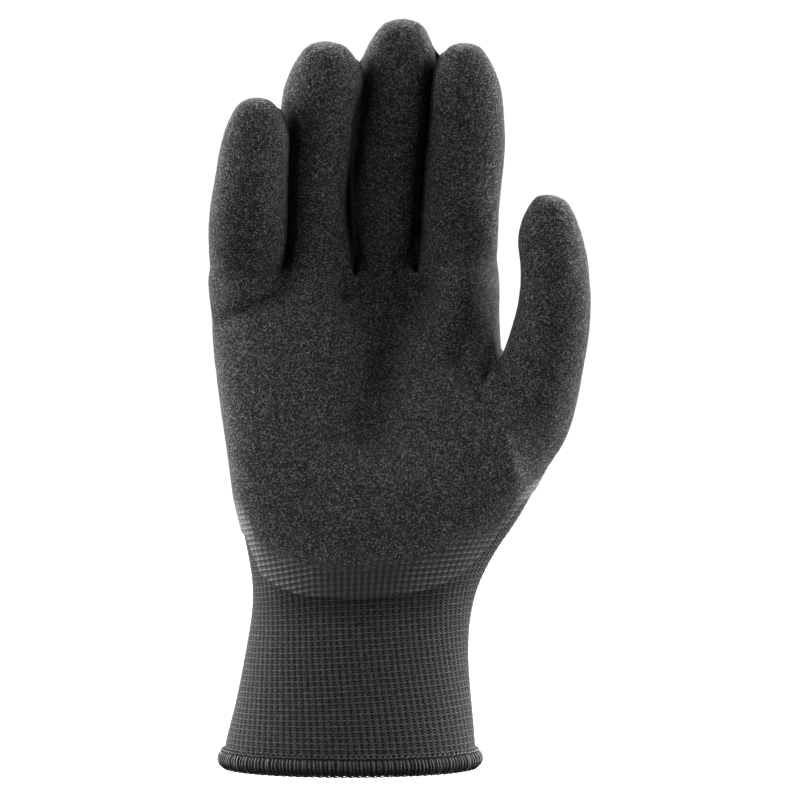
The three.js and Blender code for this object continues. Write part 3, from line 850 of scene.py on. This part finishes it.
class Lattice:
    """The knit's outer face as samples, with rows along its courses and columns along its wales."""

    def __init__(self, surface):
        grid = hand_grid(surface, PALM_STEPS)
        grid[..., :3] -= grid[..., 3:] * KNIT_DEPTH
        last = max(back for _, _, back in COATING_EDGE) + 2 * KNIT_UNDER_COAT
        self.heights = np.arange(LEVELS[0].z, last, COURSE / SAMPLES_PER_COURSE)
        self.step = self.heights[1] - self.heights[0]
        rows = level_rows(grid, course_height(grid), self.heights)
        rows = even_wales(rows, self.heights, WALES * SAMPLES_PER_WALE)
        self.points, self.normals = rows[..., :3], rows[..., 3:]
        self.wales = np.arange(rows.shape[1]) / SAMPLES_PER_WALE
        turns = turn_of(self.points)
        self.top_whole = int(np.argmin(np.isfinite(turns).all(axis=1))) - 1
        self.turns = np.unwrap(turns[:self.top_whole + 1], axis=1)

    def stitch_at(self, points):
        """The wale and the course that pass each point of the glove."""
        courses = course_height(points)
        row = np.rint((courses - self.heights[0]) / self.step)
        row = np.clip(row, 0, self.top_whole).astype(int)
        turn, wales = turn_of(points), np.zeros(len(points))
        for r in np.unique(row):
            here, start = row == r, self.turns[r, 0]
            turned = start + np.mod(turn[here] - start, 2 * math.pi)
            ends = np.append(self.turns[r], start + 2 * math.pi)
            wales[here] = np.interp(turned, ends, np.append(self.wales, WALES))
        return np.stack([wales, courses / COURSE], axis=1)


def make_knit(surface, lattice):
    """The knitted shell: bare stitches in relief, a plain face under the coat, and the inside."""
    rows, columns = lattice.points.shape[:2]
    points, normals = lattice.points.reshape(-1, 3), lattice.normals.reshape(-1, 3)
    stitch = np.stack([np.tile(lattice.wales, rows), np.repeat(lattice.heights / COURSE, columns)], axis=1)
    with np.errstate(invalid="ignore"):
        under = KNIT_UNDER_COAT - above_edge(points)
    under = np.where(np.isfinite(under), under, -1)
    raised = points + normals * knit_relief(*stitch.T)[:, None]
    at = np.arange(rows * columns).reshape(rows, columns)
    quads = strips(at[:-1], at[1:])
    kept, cuts, rim = clip(quads[(under[quads] > 0).any(axis=1)].tolist(), under)

    sheets = Sheets()
    place = sheets.add(with_cuts(raised, cuts), kept)
    top = [place[i] for i in loop_of(rim)]
    bottom = [place[i] for i in at[0][::-1]]
    stitch = with_cuts(stitch, cuts)[np.array(place) >= 0]

    base, directions, faces = surface.part(INSIDE_STEPS)
    faces = faces.tolist()
    plain, plain_cuts, plain_rim = clip(faces, above_edge(base) - KNIT_UNDER_COAT)
    place = sheets.add(with_cuts(base - directions * KNIT_DEPTH, plain_cuts), plain)
    over_top = [place[i] for i in loop_of(plain_rim)]
    inside_from = sheets.count
    place = sheets.add(base - directions * HOLLOW_DEPTH, faces, flip=True)
    inner_rim = [place[i] for i in open_rim(faces)]

    joined = sheets.joined()
    sheets.polygons += zip_loops(joined, top, over_top)
    sheets.polygons += zip_loops(joined, bottom, inner_rim)
    piece = mesh_object("knit_shell_yarn", joined, sheets.polygons)
    knit_uv(piece, np.concatenate([stitch, lattice.stitch_at(joined[len(stitch):])]))
    attribute(piece, "fleece", np.arange(len(joined)) >= inside_from)
    attribute(piece, "below_coat", -above_edge(joined))
    return piece


def coat_polygons(surface, over):
    """The coat's outer face, cut finest in the band and coarser at the back than at the palm. A face
    beside finer ones takes their points into its own sides, so the sheet stays closed."""
    coarse = surface.levels[BACK_STEPS]
    facing = surface.normals[coarse, 1].mean(axis=1) < PALM_FACING
    near_edge = over[coarse].min(axis=1) < FINE_BELOW
    needed = over[coarse].max(axis=1) > 0
    split = needed & (facing | near_edge)
    middle_faces = np.flatnonzero(np.repeat(split, 4))
    middle = surface.levels[PALM_STEPS]
    split_again = (over[middle].min(axis=1) < FINEST_BELOW) & np.repeat(split, 4)
    fine = surface.levels[BAND_STEPS][np.repeat(split_again, 4)]
    middle_faces = middle_faces[~split_again[middle_faces]]
    coarse_faces = np.flatnonzero(needed & ~split)
    used = np.zeros(len(surface.points), bool)
    for leaves in (fine, middle[middle_faces], coarse[coarse_faces]):
        used[leaves] = True
    polygons = fine.tolist()
    for level, leaves in ((PALM_STEPS, middle_faces), (BACK_STEPS, coarse_faces)):
        corners, between = surface.levels[level][leaves], surface.afters[level][leaves]
        points = np.stack([corners, between], axis=2).reshape(-1, 8)
        shown = np.stack([np.ones(corners.shape, bool), used[between]], axis=2).reshape(-1, 8)
        polygons += [tuple(face[is_shown].tolist()) for face, is_shown in zip(points, shown)]
    return polygons


def coat_height(points, over, stitch):
    """The coat's relief: lumpy foam, a ribbed band, and a face that thins towards its edge."""
    wale, course = stitch.T
    narrow = 1 + (NARROW_BAND - 1) * smoothstep(points[:, 0], NARROW_FROM, NARROW_FULL)
    risen = over / narrow
    foam = smoothstep(risen, *FOAM_FADE)
    lumps = sum(height * bumps(points, size) for size, height in FOAM_LUMPS)
    ridge = np.cos(math.pi * course) * (RIB_EVEN + (1 - RIB_EVEN) * np.cos(2 * math.pi * wale))
    height = foam * lumps + (1 - smoothstep(risen, *RIB_FADE)) * RIB_HEIGHT * ridge
    thin = EDGE_THINNING * (1 - smoothstep(over, 0, BAND_HEIGHT))
    rounded = LIP_ROUNDING * np.clip(1 - over / LIP_HEIGHT, 0, 1) ** 2
    return height * np.clip(over / LIP_HEIGHT, 0, 1) - (thin + rounded)


def make_coat(surface, lattice):
    """The dipped coat: sandy foam that thins to a smooth band."""
    over = above_edge(surface.points)
    polygons, cuts, rim = clip(coat_polygons(surface, over), over)
    sheets = Sheets()
    place = sheets.add(with_cuts(surface.points, cuts), polygons)
    used = np.array(place) >= 0
    normals, over, close = (with_cuts(v, cuts)[used] for v in (surface.normals, over, surface.closeness))
    points = sheets.points[0]
    height = coat_height(points, over, lattice.stitch_at(points))
    sheets.points[0] = points + normals * height[:, None]

    last = edge = [place[i] for i in loop_of(rim)]
    for depth in LIP_DEPTHS:
        row = list(range(sheets.count, sheets.count + len(edge)))
        sheets.points.append(points[edge] - normals[edge] * depth)
        sheets.count += len(edge)
        sheets.polygons += list(zip(last[1:] + last[:1], last, row, row[1:] + row[:1]))
        last = row

    base, directions, faces = surface.part(INSIDE_STEPS)
    inside_over = above_edge(base)
    inner, inner_cuts, inner_rim = clip(faces.tolist(), inside_over - INSIDE_FROM)
    full = smoothstep(inside_over, BAND_HEIGHT, 2 * BAND_HEIGHT)
    deep = COATING_INSIDE_AT_EDGE + (COATING_INSIDE - COATING_INSIDE_AT_EDGE) * full
    place = sheets.add(with_cuts(base - directions * deep[:, None], inner_cuts), inner, flip=True)
    joined = sheets.joined()
    sheets.polygons += zip_loops(joined, last, [place[i] for i in loop_of(inner_rim)])
    piece = mesh_object("nitrile_coat", joined, sheets.polygons)
    knit_uv(piece, lattice.stitch_at(joined))
    attribute(piece, "over_edge", np.concatenate([over, above_edge(joined[len(over):])]))
    attribute(piece, "between_fingers", np.append(close, np.zeros(len(joined) - len(close))))
    return piece


class HemPath:
    """The knit's lower edge as a closed line, with its outward direction, by length along it."""

    def __init__(self, lattice):
        line = np.concatenate([lattice.points[0], lattice.normals[0]], axis=1)
        self.loop = np.concatenate([line, line[:1]])
        self.walked = walked_along(self.loop[:, :3])
        self.length = self.walked[-1]

    def at(self, along):
        """Points and outward directions at lengths along the line."""
        where = np.mod(along, self.length)
        parts = np.stack([np.interp(where, self.walked, part) for part in self.loop.T], axis=-1)
        return parts[..., :3], parts[..., 3:] / np.linalg.norm(parts[..., 3:], axis=-1, keepdims=True)


def bead_place(turn, sink):
    """Distance outward and height of a place on the hem's round bead, sunk below its outer face."""
    return HEM_MIDDLE + (HEM_REACH - sink) * np.cos(turn), HEM_HALF + (HEM_HALF - sink) * np.sin(turn)


def make_hem_core(path):
    """The bead under the threads, with the slot that holds the knit's edge."""
    turns = np.radians(np.linspace(HEM_ARC_FROM, HEM_ARC_TO, HEM_ARC_STEPS + 1))
    across, z = bead_place(turns, HEM_CORE_SINK)
    lip = z[0] - HEM_SLOT_GAP
    across = np.concatenate([across, [HEM_SLOT_IN, HEM_SLOT_IN, HEM_SLOT_GAP, HEM_SLOT_GAP]])
    z = np.concatenate([z, [lip, HEM_FLOOR, HEM_FLOOR, lip]])
    rounds = int(path.length / THREAD_PITCH)
    points, outward = path.at(np.arange(rounds) / rounds * path.length)
    ring = points[:, None, :] + outward[:, None, :] * across[None, :, None]
    ring[..., 2] = z
    at = np.arange(rounds * len(z)).reshape(rounds, len(z))
    return mesh_object("hem_core", ring.reshape(-1, 3), strips(at, np.roll(at, -1, axis=0)).tolist())


def tubes(centres, radii, closed=False):
    """Points and faces of threads along rows of centres, with flat ends unless closed."""
    strands, steps = centres.shape[:2]
    if closed:
        tangents = np.roll(centres, -1, axis=1) - np.roll(centres, 1, axis=1)
    else:
        tangents = np.gradient(centres, axis=1)
    tangents /= np.linalg.norm(tangents, axis=2, keepdims=True)
    reference = np.zeros_like(tangents)
    reference[..., :2] = np.stack([-centres[..., 1] - HEM_HALF, centres[..., 0]], axis=-1)
    side = reference - (reference * tangents).sum(axis=2, keepdims=True) * tangents
    side /= np.linalg.norm(side, axis=2, keepdims=True)
    across = np.cross(tangents, side)
    turns = (np.arange(THREAD_SIDES) * 2 * math.pi / THREAD_SIDES)[:, None]
    round_it = np.cos(turns) * side[:, :, None] + np.sin(turns) * across[:, :, None]
    rings = centres[:, :, None] + radii[..., None, None] * round_it
    at = np.arange(strands * steps * THREAD_SIDES).reshape(strands, steps, THREAD_SIDES)
    if closed:
        return rings.reshape(-1, 3), strips(at, np.roll(at, -1, axis=1)).tolist()
    ends = at[:, 0, ::-1].tolist() + at[:, -1].tolist()
    return rings.reshape(-1, 3), strips(at[:, :-1], at[:, 1:]).tolist() + ends


def make_hem_wraps(path, random):
    """The overlock threads, each laid round the bead from the inside to the outer shoulder."""
    wraps = int(path.length / THREAD_PITCH)
    start = np.arange(wraps) * path.length / wraps + random.normal(0, WRAP_UNEVEN, wraps)
    arc = np.linspace(HEM_ARC_FROM + WRAP_ARC_INSET, HEM_ARC_TO - WRAP_ARC_INSET, THREAD_STEPS)
    share = np.linspace(0, 1, THREAD_STEPS)
    slant = random.normal(WRAP_SLANT, WRAP_SLANT_UNEVEN, wraps)[:, None] * (share - 0.5)
    wander = random.normal(0, WRAP_WANDER, (wraps, THREAD_STEPS))
    points, outward = path.at(start[:, None] + slant + wander)
    from_end = np.minimum(share, 1 - share)
    ends = WRAP_END_SINK * np.clip(1 - from_end / WRAP_END, 0, 1)
    sink = HEM_CORE_SINK - WRAP_RISE + ends[None, :] + random.uniform(0, WRAP_SINK, wraps)[:, None]
    across, z = bead_place(np.radians(arc)[None, :], sink)
    centres = points + outward * across[..., None]
    centres[..., 2] = z
    sizes = random.uniform(*WRAP_SIZES, wraps)[:, None]
    radii = THREAD_RADIUS * sizes * np.ones(THREAD_STEPS)
    return mesh_object("hem_wrap_threads", *tubes(centres, radii))


def make_hem_stitches(path, random, name, stitch):
    """A thread that runs along the hem in small loops, one for each wrap or two."""
    loops = int(path.length / stitch.pitch)
    steps = loops * STITCH_STEPS
    along = np.arange(steps) / steps * path.length
    phase = np.arange(steps) / STITCH_STEPS * 2 * math.pi
    uneven = np.repeat(random.uniform(1 - STITCH_UNEVEN, 1 + STITCH_UNEVEN, loops), STITCH_STEPS)
    turn = np.radians(stitch.turn + stitch.swing * uneven * np.sin(phase))
    points, outward = path.at(along + STITCH_SWAY * stitch.pitch * np.cos(phase))
    across, z = bead_place(turn, -stitch.rise * (0.5 + 0.5 * np.cos(phase)))
    centres = points + outward * across[:, None]
    centres[:, 2] = z
    radii = np.full((1, steps), stitch.radius)
    return mesh_object(name, *tubes(centres[None], radii, closed=True))


class Nodes:
    """Short ways to build a tree of shader nodes."""

    def __init__(self, tree):
        self.tree = tree

    def node(self, kind, **settings):
        made = self.tree.nodes.new(kind)
        for key, value in settings.items():
            setattr(made, key, value)
        return made

    def link(self, value, socket):
        if hasattr(value, "is_linked"):
            self.tree.links.new(value, socket)
        else:
            socket.default_value = value

    def linked(self, kind, values, **settings):
        """A new node with the values on its first inputs."""
        made = self.node(kind, **settings)
        for value, socket in zip(values, made.inputs):
            self.link(value, socket)
        return made.outputs

    def math(self, operation, *values):
        return self.linked("ShaderNodeMath", values, operation=operation)[0]

    def times(self, a, b):
        return self.math("MULTIPLY", a, b)

    def ramp(self, value, low, high, to_low=0.0, to_high=1.0, kind="LINEAR"):
        values = (value, low, high, to_low, to_high)
        return self.linked("ShaderNodeMapRange", values, interpolation_type=kind)[0]

    def fade(self, *values):
        """A ramp with smooth ends."""
        return self.ramp(*values, kind="SMOOTHSTEP")

    def coordinates(self, kind="Object"):
        return self.node("ShaderNodeTexCoord").outputs[kind]

    def split(self, vector):
        return self.linked("ShaderNodeSeparateXYZ", (vector,))


class Shader(Nodes):
    """A Principled material built from nodes."""

    def __init__(self, name, specular):
        self.material = bpy.data.materials.new(name)
        self.material.use_nodes = True
        super().__init__(self.material.node_tree)
        self.surface = self.tree.nodes["Principled BSDF"]
        self.surface.inputs["Specular IOR Level"].default_value = specular

    def mix_colours(self, share, a, b):
        made = self.node("ShaderNodeMix", data_type="RGBA")
        self.link(share, made.inputs[0])
        for value, socket in ((a, made.inputs[6]), (b, made.inputs[7])):
            self.link((*value, 1) if isinstance(value, tuple) else value, socket)
        return made.outputs[2]

    def grain(self, size, detail=2.0, roughness=0.5, stretch=(1, 1, 1)):
        """Noise with spots of about that size, fixed to the piece."""
        scale = tuple(s / (size * MM) for s in stretch)
        made = self.node("ShaderNodeTexNoise")
        scaled = self.linked("ShaderNodeVectorMath", (self.coordinates(), scale), operation="MULTIPLY")
        self.link(scaled[0], made.inputs["Vector"])
        for socket, value in (("Scale", 1.0), ("Detail", detail), ("Roughness", roughness)):
            made.inputs[socket].default_value = value
        return made.outputs["Fac"]

    def cells(self, size):
        """Grains of about that size: a number from 0 to 1 for each, and the distance from its middle."""
        made = self.node("ShaderNodeTexVoronoi")
        self.link(self.coordinates(), made.inputs["Vector"])
        made.inputs["Scale"].default_value = 1 / (size * MM)
        colour = self.linked("ShaderNodeSeparateColor", (made.outputs["Color"],))
        return colour[0], made.outputs["Distance"]

    def beside_middle(self):
        """Distance to the side from the middle of the palm, in metres."""
        sideways = self.split(self.coordinates())[0]
        return self.math("ABSOLUTE", self.math("SUBTRACT", sideways, BAND_MIDDLE_X * MM))

    def attribute(self, name):
        return self.node("ShaderNodeAttribute", attribute_name=name).outputs["Fac"]

    def wale_and_course(self):
        return self.split(self.node("ShaderNodeUVMap", uv_map="knit").outputs[0])[:2]

    def wave(self, value, per_unit=1.0, shift=0.0):
        """A cosine wave from 0 to 1."""
        turned = self.math("MULTIPLY_ADD", value, 2 * math.pi * per_unit, shift)
        return self.math("MULTIPLY_ADD", self.math("COSINE", turned), 0.5, 0.5)

    def without(self, value):
        """What is left of 1 without the value."""
        return self.math("SUBTRACT", 1.0, value)

    def bump(self, height, distance, normal=None):
        """The normal over a relief of that height."""
        made = self.node("ShaderNodeBump")
        made.inputs["Distance"].default_value = distance * MM
        made.inputs["Strength"].default_value = 1.0
        self.link(height, made.inputs["Height"])
        if normal:
            self.link(normal, made.inputs["Normal"])
        return made.outputs[0]

    def finish(self, colour, roughness, normal):
        for value, socket in ((colour, "Base Color"), (roughness, "Roughness"), (normal, "Normal")):
            self.link(value, self.surface.inputs[socket])
        return self.material


def coat_material():
    """Sandy foamed rubber that turns smooth and glossier in the thin band along its edge; the band's ribs
    carry painted highlights, and painted shade darkens the foam between the fingers.
    """
    s = Shader("sandy_nitrile", specular=0.12)
    torn = s.math("MULTIPLY_ADD", s.grain(TORN_SIZE, 3.0), 2 * TORN_REACH, -TORN_REACH)
    sideways = s.split(s.coordinates())[0]
    narrow = s.fade(sideways, NARROW_FROM * MM, NARROW_FULL * MM, 1.0, NARROW_BAND)
    risen = s.math("DIVIDE", s.math("ADD", s.attribute("over_edge"), torn), narrow)
    foam = s.fade(risen, *FOAM_FADE)
    cells, from_middle = s.cells(FOAM_GRAIN)

    # Painted highlights on the crests of the band's ribs, broken by the grain: faint in the middle of the
    # palm and full towards the sides, where light grazes
    wale, course = s.wale_and_course()
    column = s.wave(wale)
    line = s.math("POWER", s.wave(course, 0.5), 4.0)
    stitch = s.times(line, s.ramp(column, 0.0, 1.0, 0.35, 1.0))
    beside = s.fade(s.beside_middle(), BAND_HIGHLIGHT_FROM * MM, BAND_HIGHLIGHT_FULL * MM, HIGHLIGHT_AT_MIDDLE, 1.0)
    shown = s.math("MULTIPLY_ADD", column, COLUMN_HIGHLIGHT, s.times(stitch, beside))
    grain_and_highlight = s.times(shown, s.ramp(cells, 0.0, 1.0, 0.6, 1.0))
    smooth_colour = s.mix_colours(grain_and_highlight, BAND_COLOUR, RIB_HIGHLIGHT_COLOUR)

    grains = s.ramp(s.math("POWER", cells, 4.0), 0.0, 1.0, *GRAIN_SHADES)
    patches = s.ramp(s.grain(PATCH_SIZE), 0.3, 0.7, 1 - PATCH_CHANGE, 1 + PATCH_CHANGE)
    # Painted shade between the fingers: the foam darkens where a finger's side faces its neighbour
    between = s.attribute("between_fingers")
    shaded = s.fade(between, *GROOVE_SHADE_FADE, 1.0, GROOVE_SHADE_LIGHTNESS)
    sandy = s.mix_colours(s.times(s.times(grains, patches), shaded), BLACK, FOAM_COLOUR)
    colour = s.mix_colours(foam, smooth_colour, sandy)

    ribs = s.bump(s.times(shown, s.without(foam)), 0.15)
    weak = s.math("MULTIPLY_ADD", foam, 0.7, 0.3)
    sand = s.math("MULTIPLY_ADD", from_middle, -0.8, s.times(cells, 0.6))
    normal = s.bump(s.times(sand, weak), 0.25, ribs)
    return s.finish(colour, s.ramp(foam, 0.0, 1.0, 0.5, 0.8), normal)


def knit_material():
    """Black yarn with a painted highlight along the ridge at every second course, painted shade in the
    holes between the wales, and a painted shadow just below the coat's edge in the middle of the palm.
    """
    s = Shader("knit_yarn", specular=0.15)
    wale, course = s.wale_and_course()
    # Painted highlight along the ridge at every second course, and painted shade in the holes between the
    # wales
    line = s.math("POWER", s.wave(course, 0.5), 5.0)
    spots = s.ramp(s.wave(course, 1.0, math.pi), 0.1, 0.8, 0.25, 1.0)
    between = s.ramp(s.wave(wale, 1.0, math.pi), 0.3, 0.9)
    hole_shade = s.times(s.times(between, spots), s.without(line))

    fibre, _ = s.cells(FIBRE_SIZE)
    grain_and_highlight = s.times(s.ramp(fibre, 0.0, 1.0, 0.35, 1.65), s.math("MULTIPLY_ADD", line, 0.35, 0.6))
    # Painted shadow on the yarn just below the coat's edge, fading out away from the middle of the palm
    below = s.attribute("below_coat")
    edge_shadow = s.fade(below, *EDGE_SHADOW_HEIGHTS, EDGE_SHADOW_DARKENING, 0.0)
    fade = (BAND_HIGHLIGHT_FULL * MM, (BAND_HIGHLIGHT_FULL + EDGE_SHADOW_FADE) * MM)
    edge_shadow = s.times(edge_shadow, s.fade(s.beside_middle(), *fade, 1.0, 0.0))
    light = s.mix_colours(s.times(s.times(grain_and_highlight, s.without(edge_shadow)), 0.5), BLACK, YARN_COLOUR)
    yarn = s.mix_colours(hole_shade, light, HOLE_SHADE_COLOUR)
    colour = s.mix_colours(s.attribute("fleece"), yarn, FLEECE_COLOUR)

    fold = s.math("ABSOLUTE", s.math("SUBTRACT", s.math("FRACT", wale), 0.5))
    leg = s.wave(s.math("MULTIPLY_ADD", fold, 2.0, course))
    normal = s.bump(s.math("MULTIPLY_ADD", fibre, 0.6, s.times(leg, 0.5)), 0.25)
    return s.finish(colour, 0.8, normal)


def thread_material(name, dark, light, roughness):
    """Twisted sewing thread."""
    s = Shader(name, specular=0.4)
    fibre = s.grain(0.22, 2.0, 0.6, stretch=(1, 1, 0.35))
    return s.finish(s.mix_colours(fibre, dark, light), roughness, s.bump(fibre, 0.12))


def make_world():
    """Soft boxes all round the glove and a little behind it, a dim front, and a white backdrop."""
    world = bpy.data.worlds.new("pale_studio")
    world.use_nodes = True
    s = Nodes(world.node_tree)
    _, y, z = s.split(s.coordinates("Generated"))
    depth = s.math("MULTIPLY_ADD", s.math("ABSOLUTE", z), -BOXES_UPRIGHT, y)
    light = s.fade(depth, *BOXES_START, FRONT_LIGHT, BOX_LIGHT)
    light = s.fade(depth, *BOXES_END, light, BEHIND_LIGHT)
    light = s.fade(z, *BELOW_FADE, BELOW_LIGHT, light)
    seen = s.node("ShaderNodeMix")
    s.link(s.node("ShaderNodeLightPath").outputs["Is Camera Ray"], seen.inputs["Factor"])
    s.link(light, seen.inputs["A"])
    s.link(BACKDROP_LIGHT, seen.inputs["B"])
    background = world.node_tree.nodes["Background"]
    background.inputs["Color"].default_value = (1, 1, 1, 1)
    s.link(seen.outputs["Result"], background.inputs["Strength"])
    bpy.context.scene.world = world


def make_floor():
    sides = ((-1, -1), (1, -1), (1, 1), (-1, 1))
    corners = np.array([(x * FLOOR_REACH, y * FLOOR_REACH, FLOOR_LEVEL) for x, y in sides])
    floor = mesh_object("floor", corners, [(0, 1, 2, 3)])
    s = Shader("pale_floor", specular=0.0)
    s.surface.inputs["Base Color"].default_value = (*FLOOR_COLOUR, 1)
    s.surface.inputs["Roughness"].default_value = 0.9
    floor.data.materials.append(s.material)
    floor.visible_diffuse = floor.visible_glossy = False


def make_camera():
    data = bpy.data.cameras.new("camera")
    data.sensor_width = CAMERA_SENSOR
    data.lens = CAMERA_SENSOR / CAMERA_VIEW
    data.clip_start = CAMERA_CLIP
    camera = add_object("camera", data)
    camera.location = CAMERA_PLACE
    camera.rotation_euler = (math.radians(90), 0, 0)
    bpy.context.scene.camera = camera


def dress(piece, material, node):
    piece.data.materials.append(material)
    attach(piece, "root")
    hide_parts(node)


make_camera()
make_world()
make_floor()
bpy.context.scene.view_settings.view_transform = "Standard"

surface = Surface(BAND_STEPS)
lattice = Lattice(surface)
dress(make_knit(surface, lattice), knit_material(), "knit_shell")
dress(make_coat(surface, lattice), coat_material(), "nitrile_coating")
random = np.random.default_rng(7)
path = HemPath(lattice)
thread = thread_material("hem_thread", (0.001, 0.001, 0.001), (0.02, 0.02, 0.0205), 0.35)
pale_thread = thread_material("hem_stitch_thread", (0.01, 0.01, 0.01), (0.09, 0.09, 0.09), 0.5)
# The bead's core is black, painted darker than the thread so that the gaps between the wraps read as shade
black_core_and_gap_shade = thread_material("hem_core_gap_shade", (0.0005, 0.0005, 0.0005), (0.001, 0.001, 0.001), 0.8)
dress(make_hem_core(path), black_core_and_gap_shade, "cuff_hem")
dress(make_hem_wraps(path, random), thread, "cuff_hem")
upper = make_hem_stitches(path, random, "hem_upper_stitches", UPPER_STITCH)
dress(upper, pale_thread, "cuff_hem")
lower = make_hem_stitches(path, random, "hem_lower_stitches", LOWER_STITCH)
dress(lower, thread, "cuff_hem")
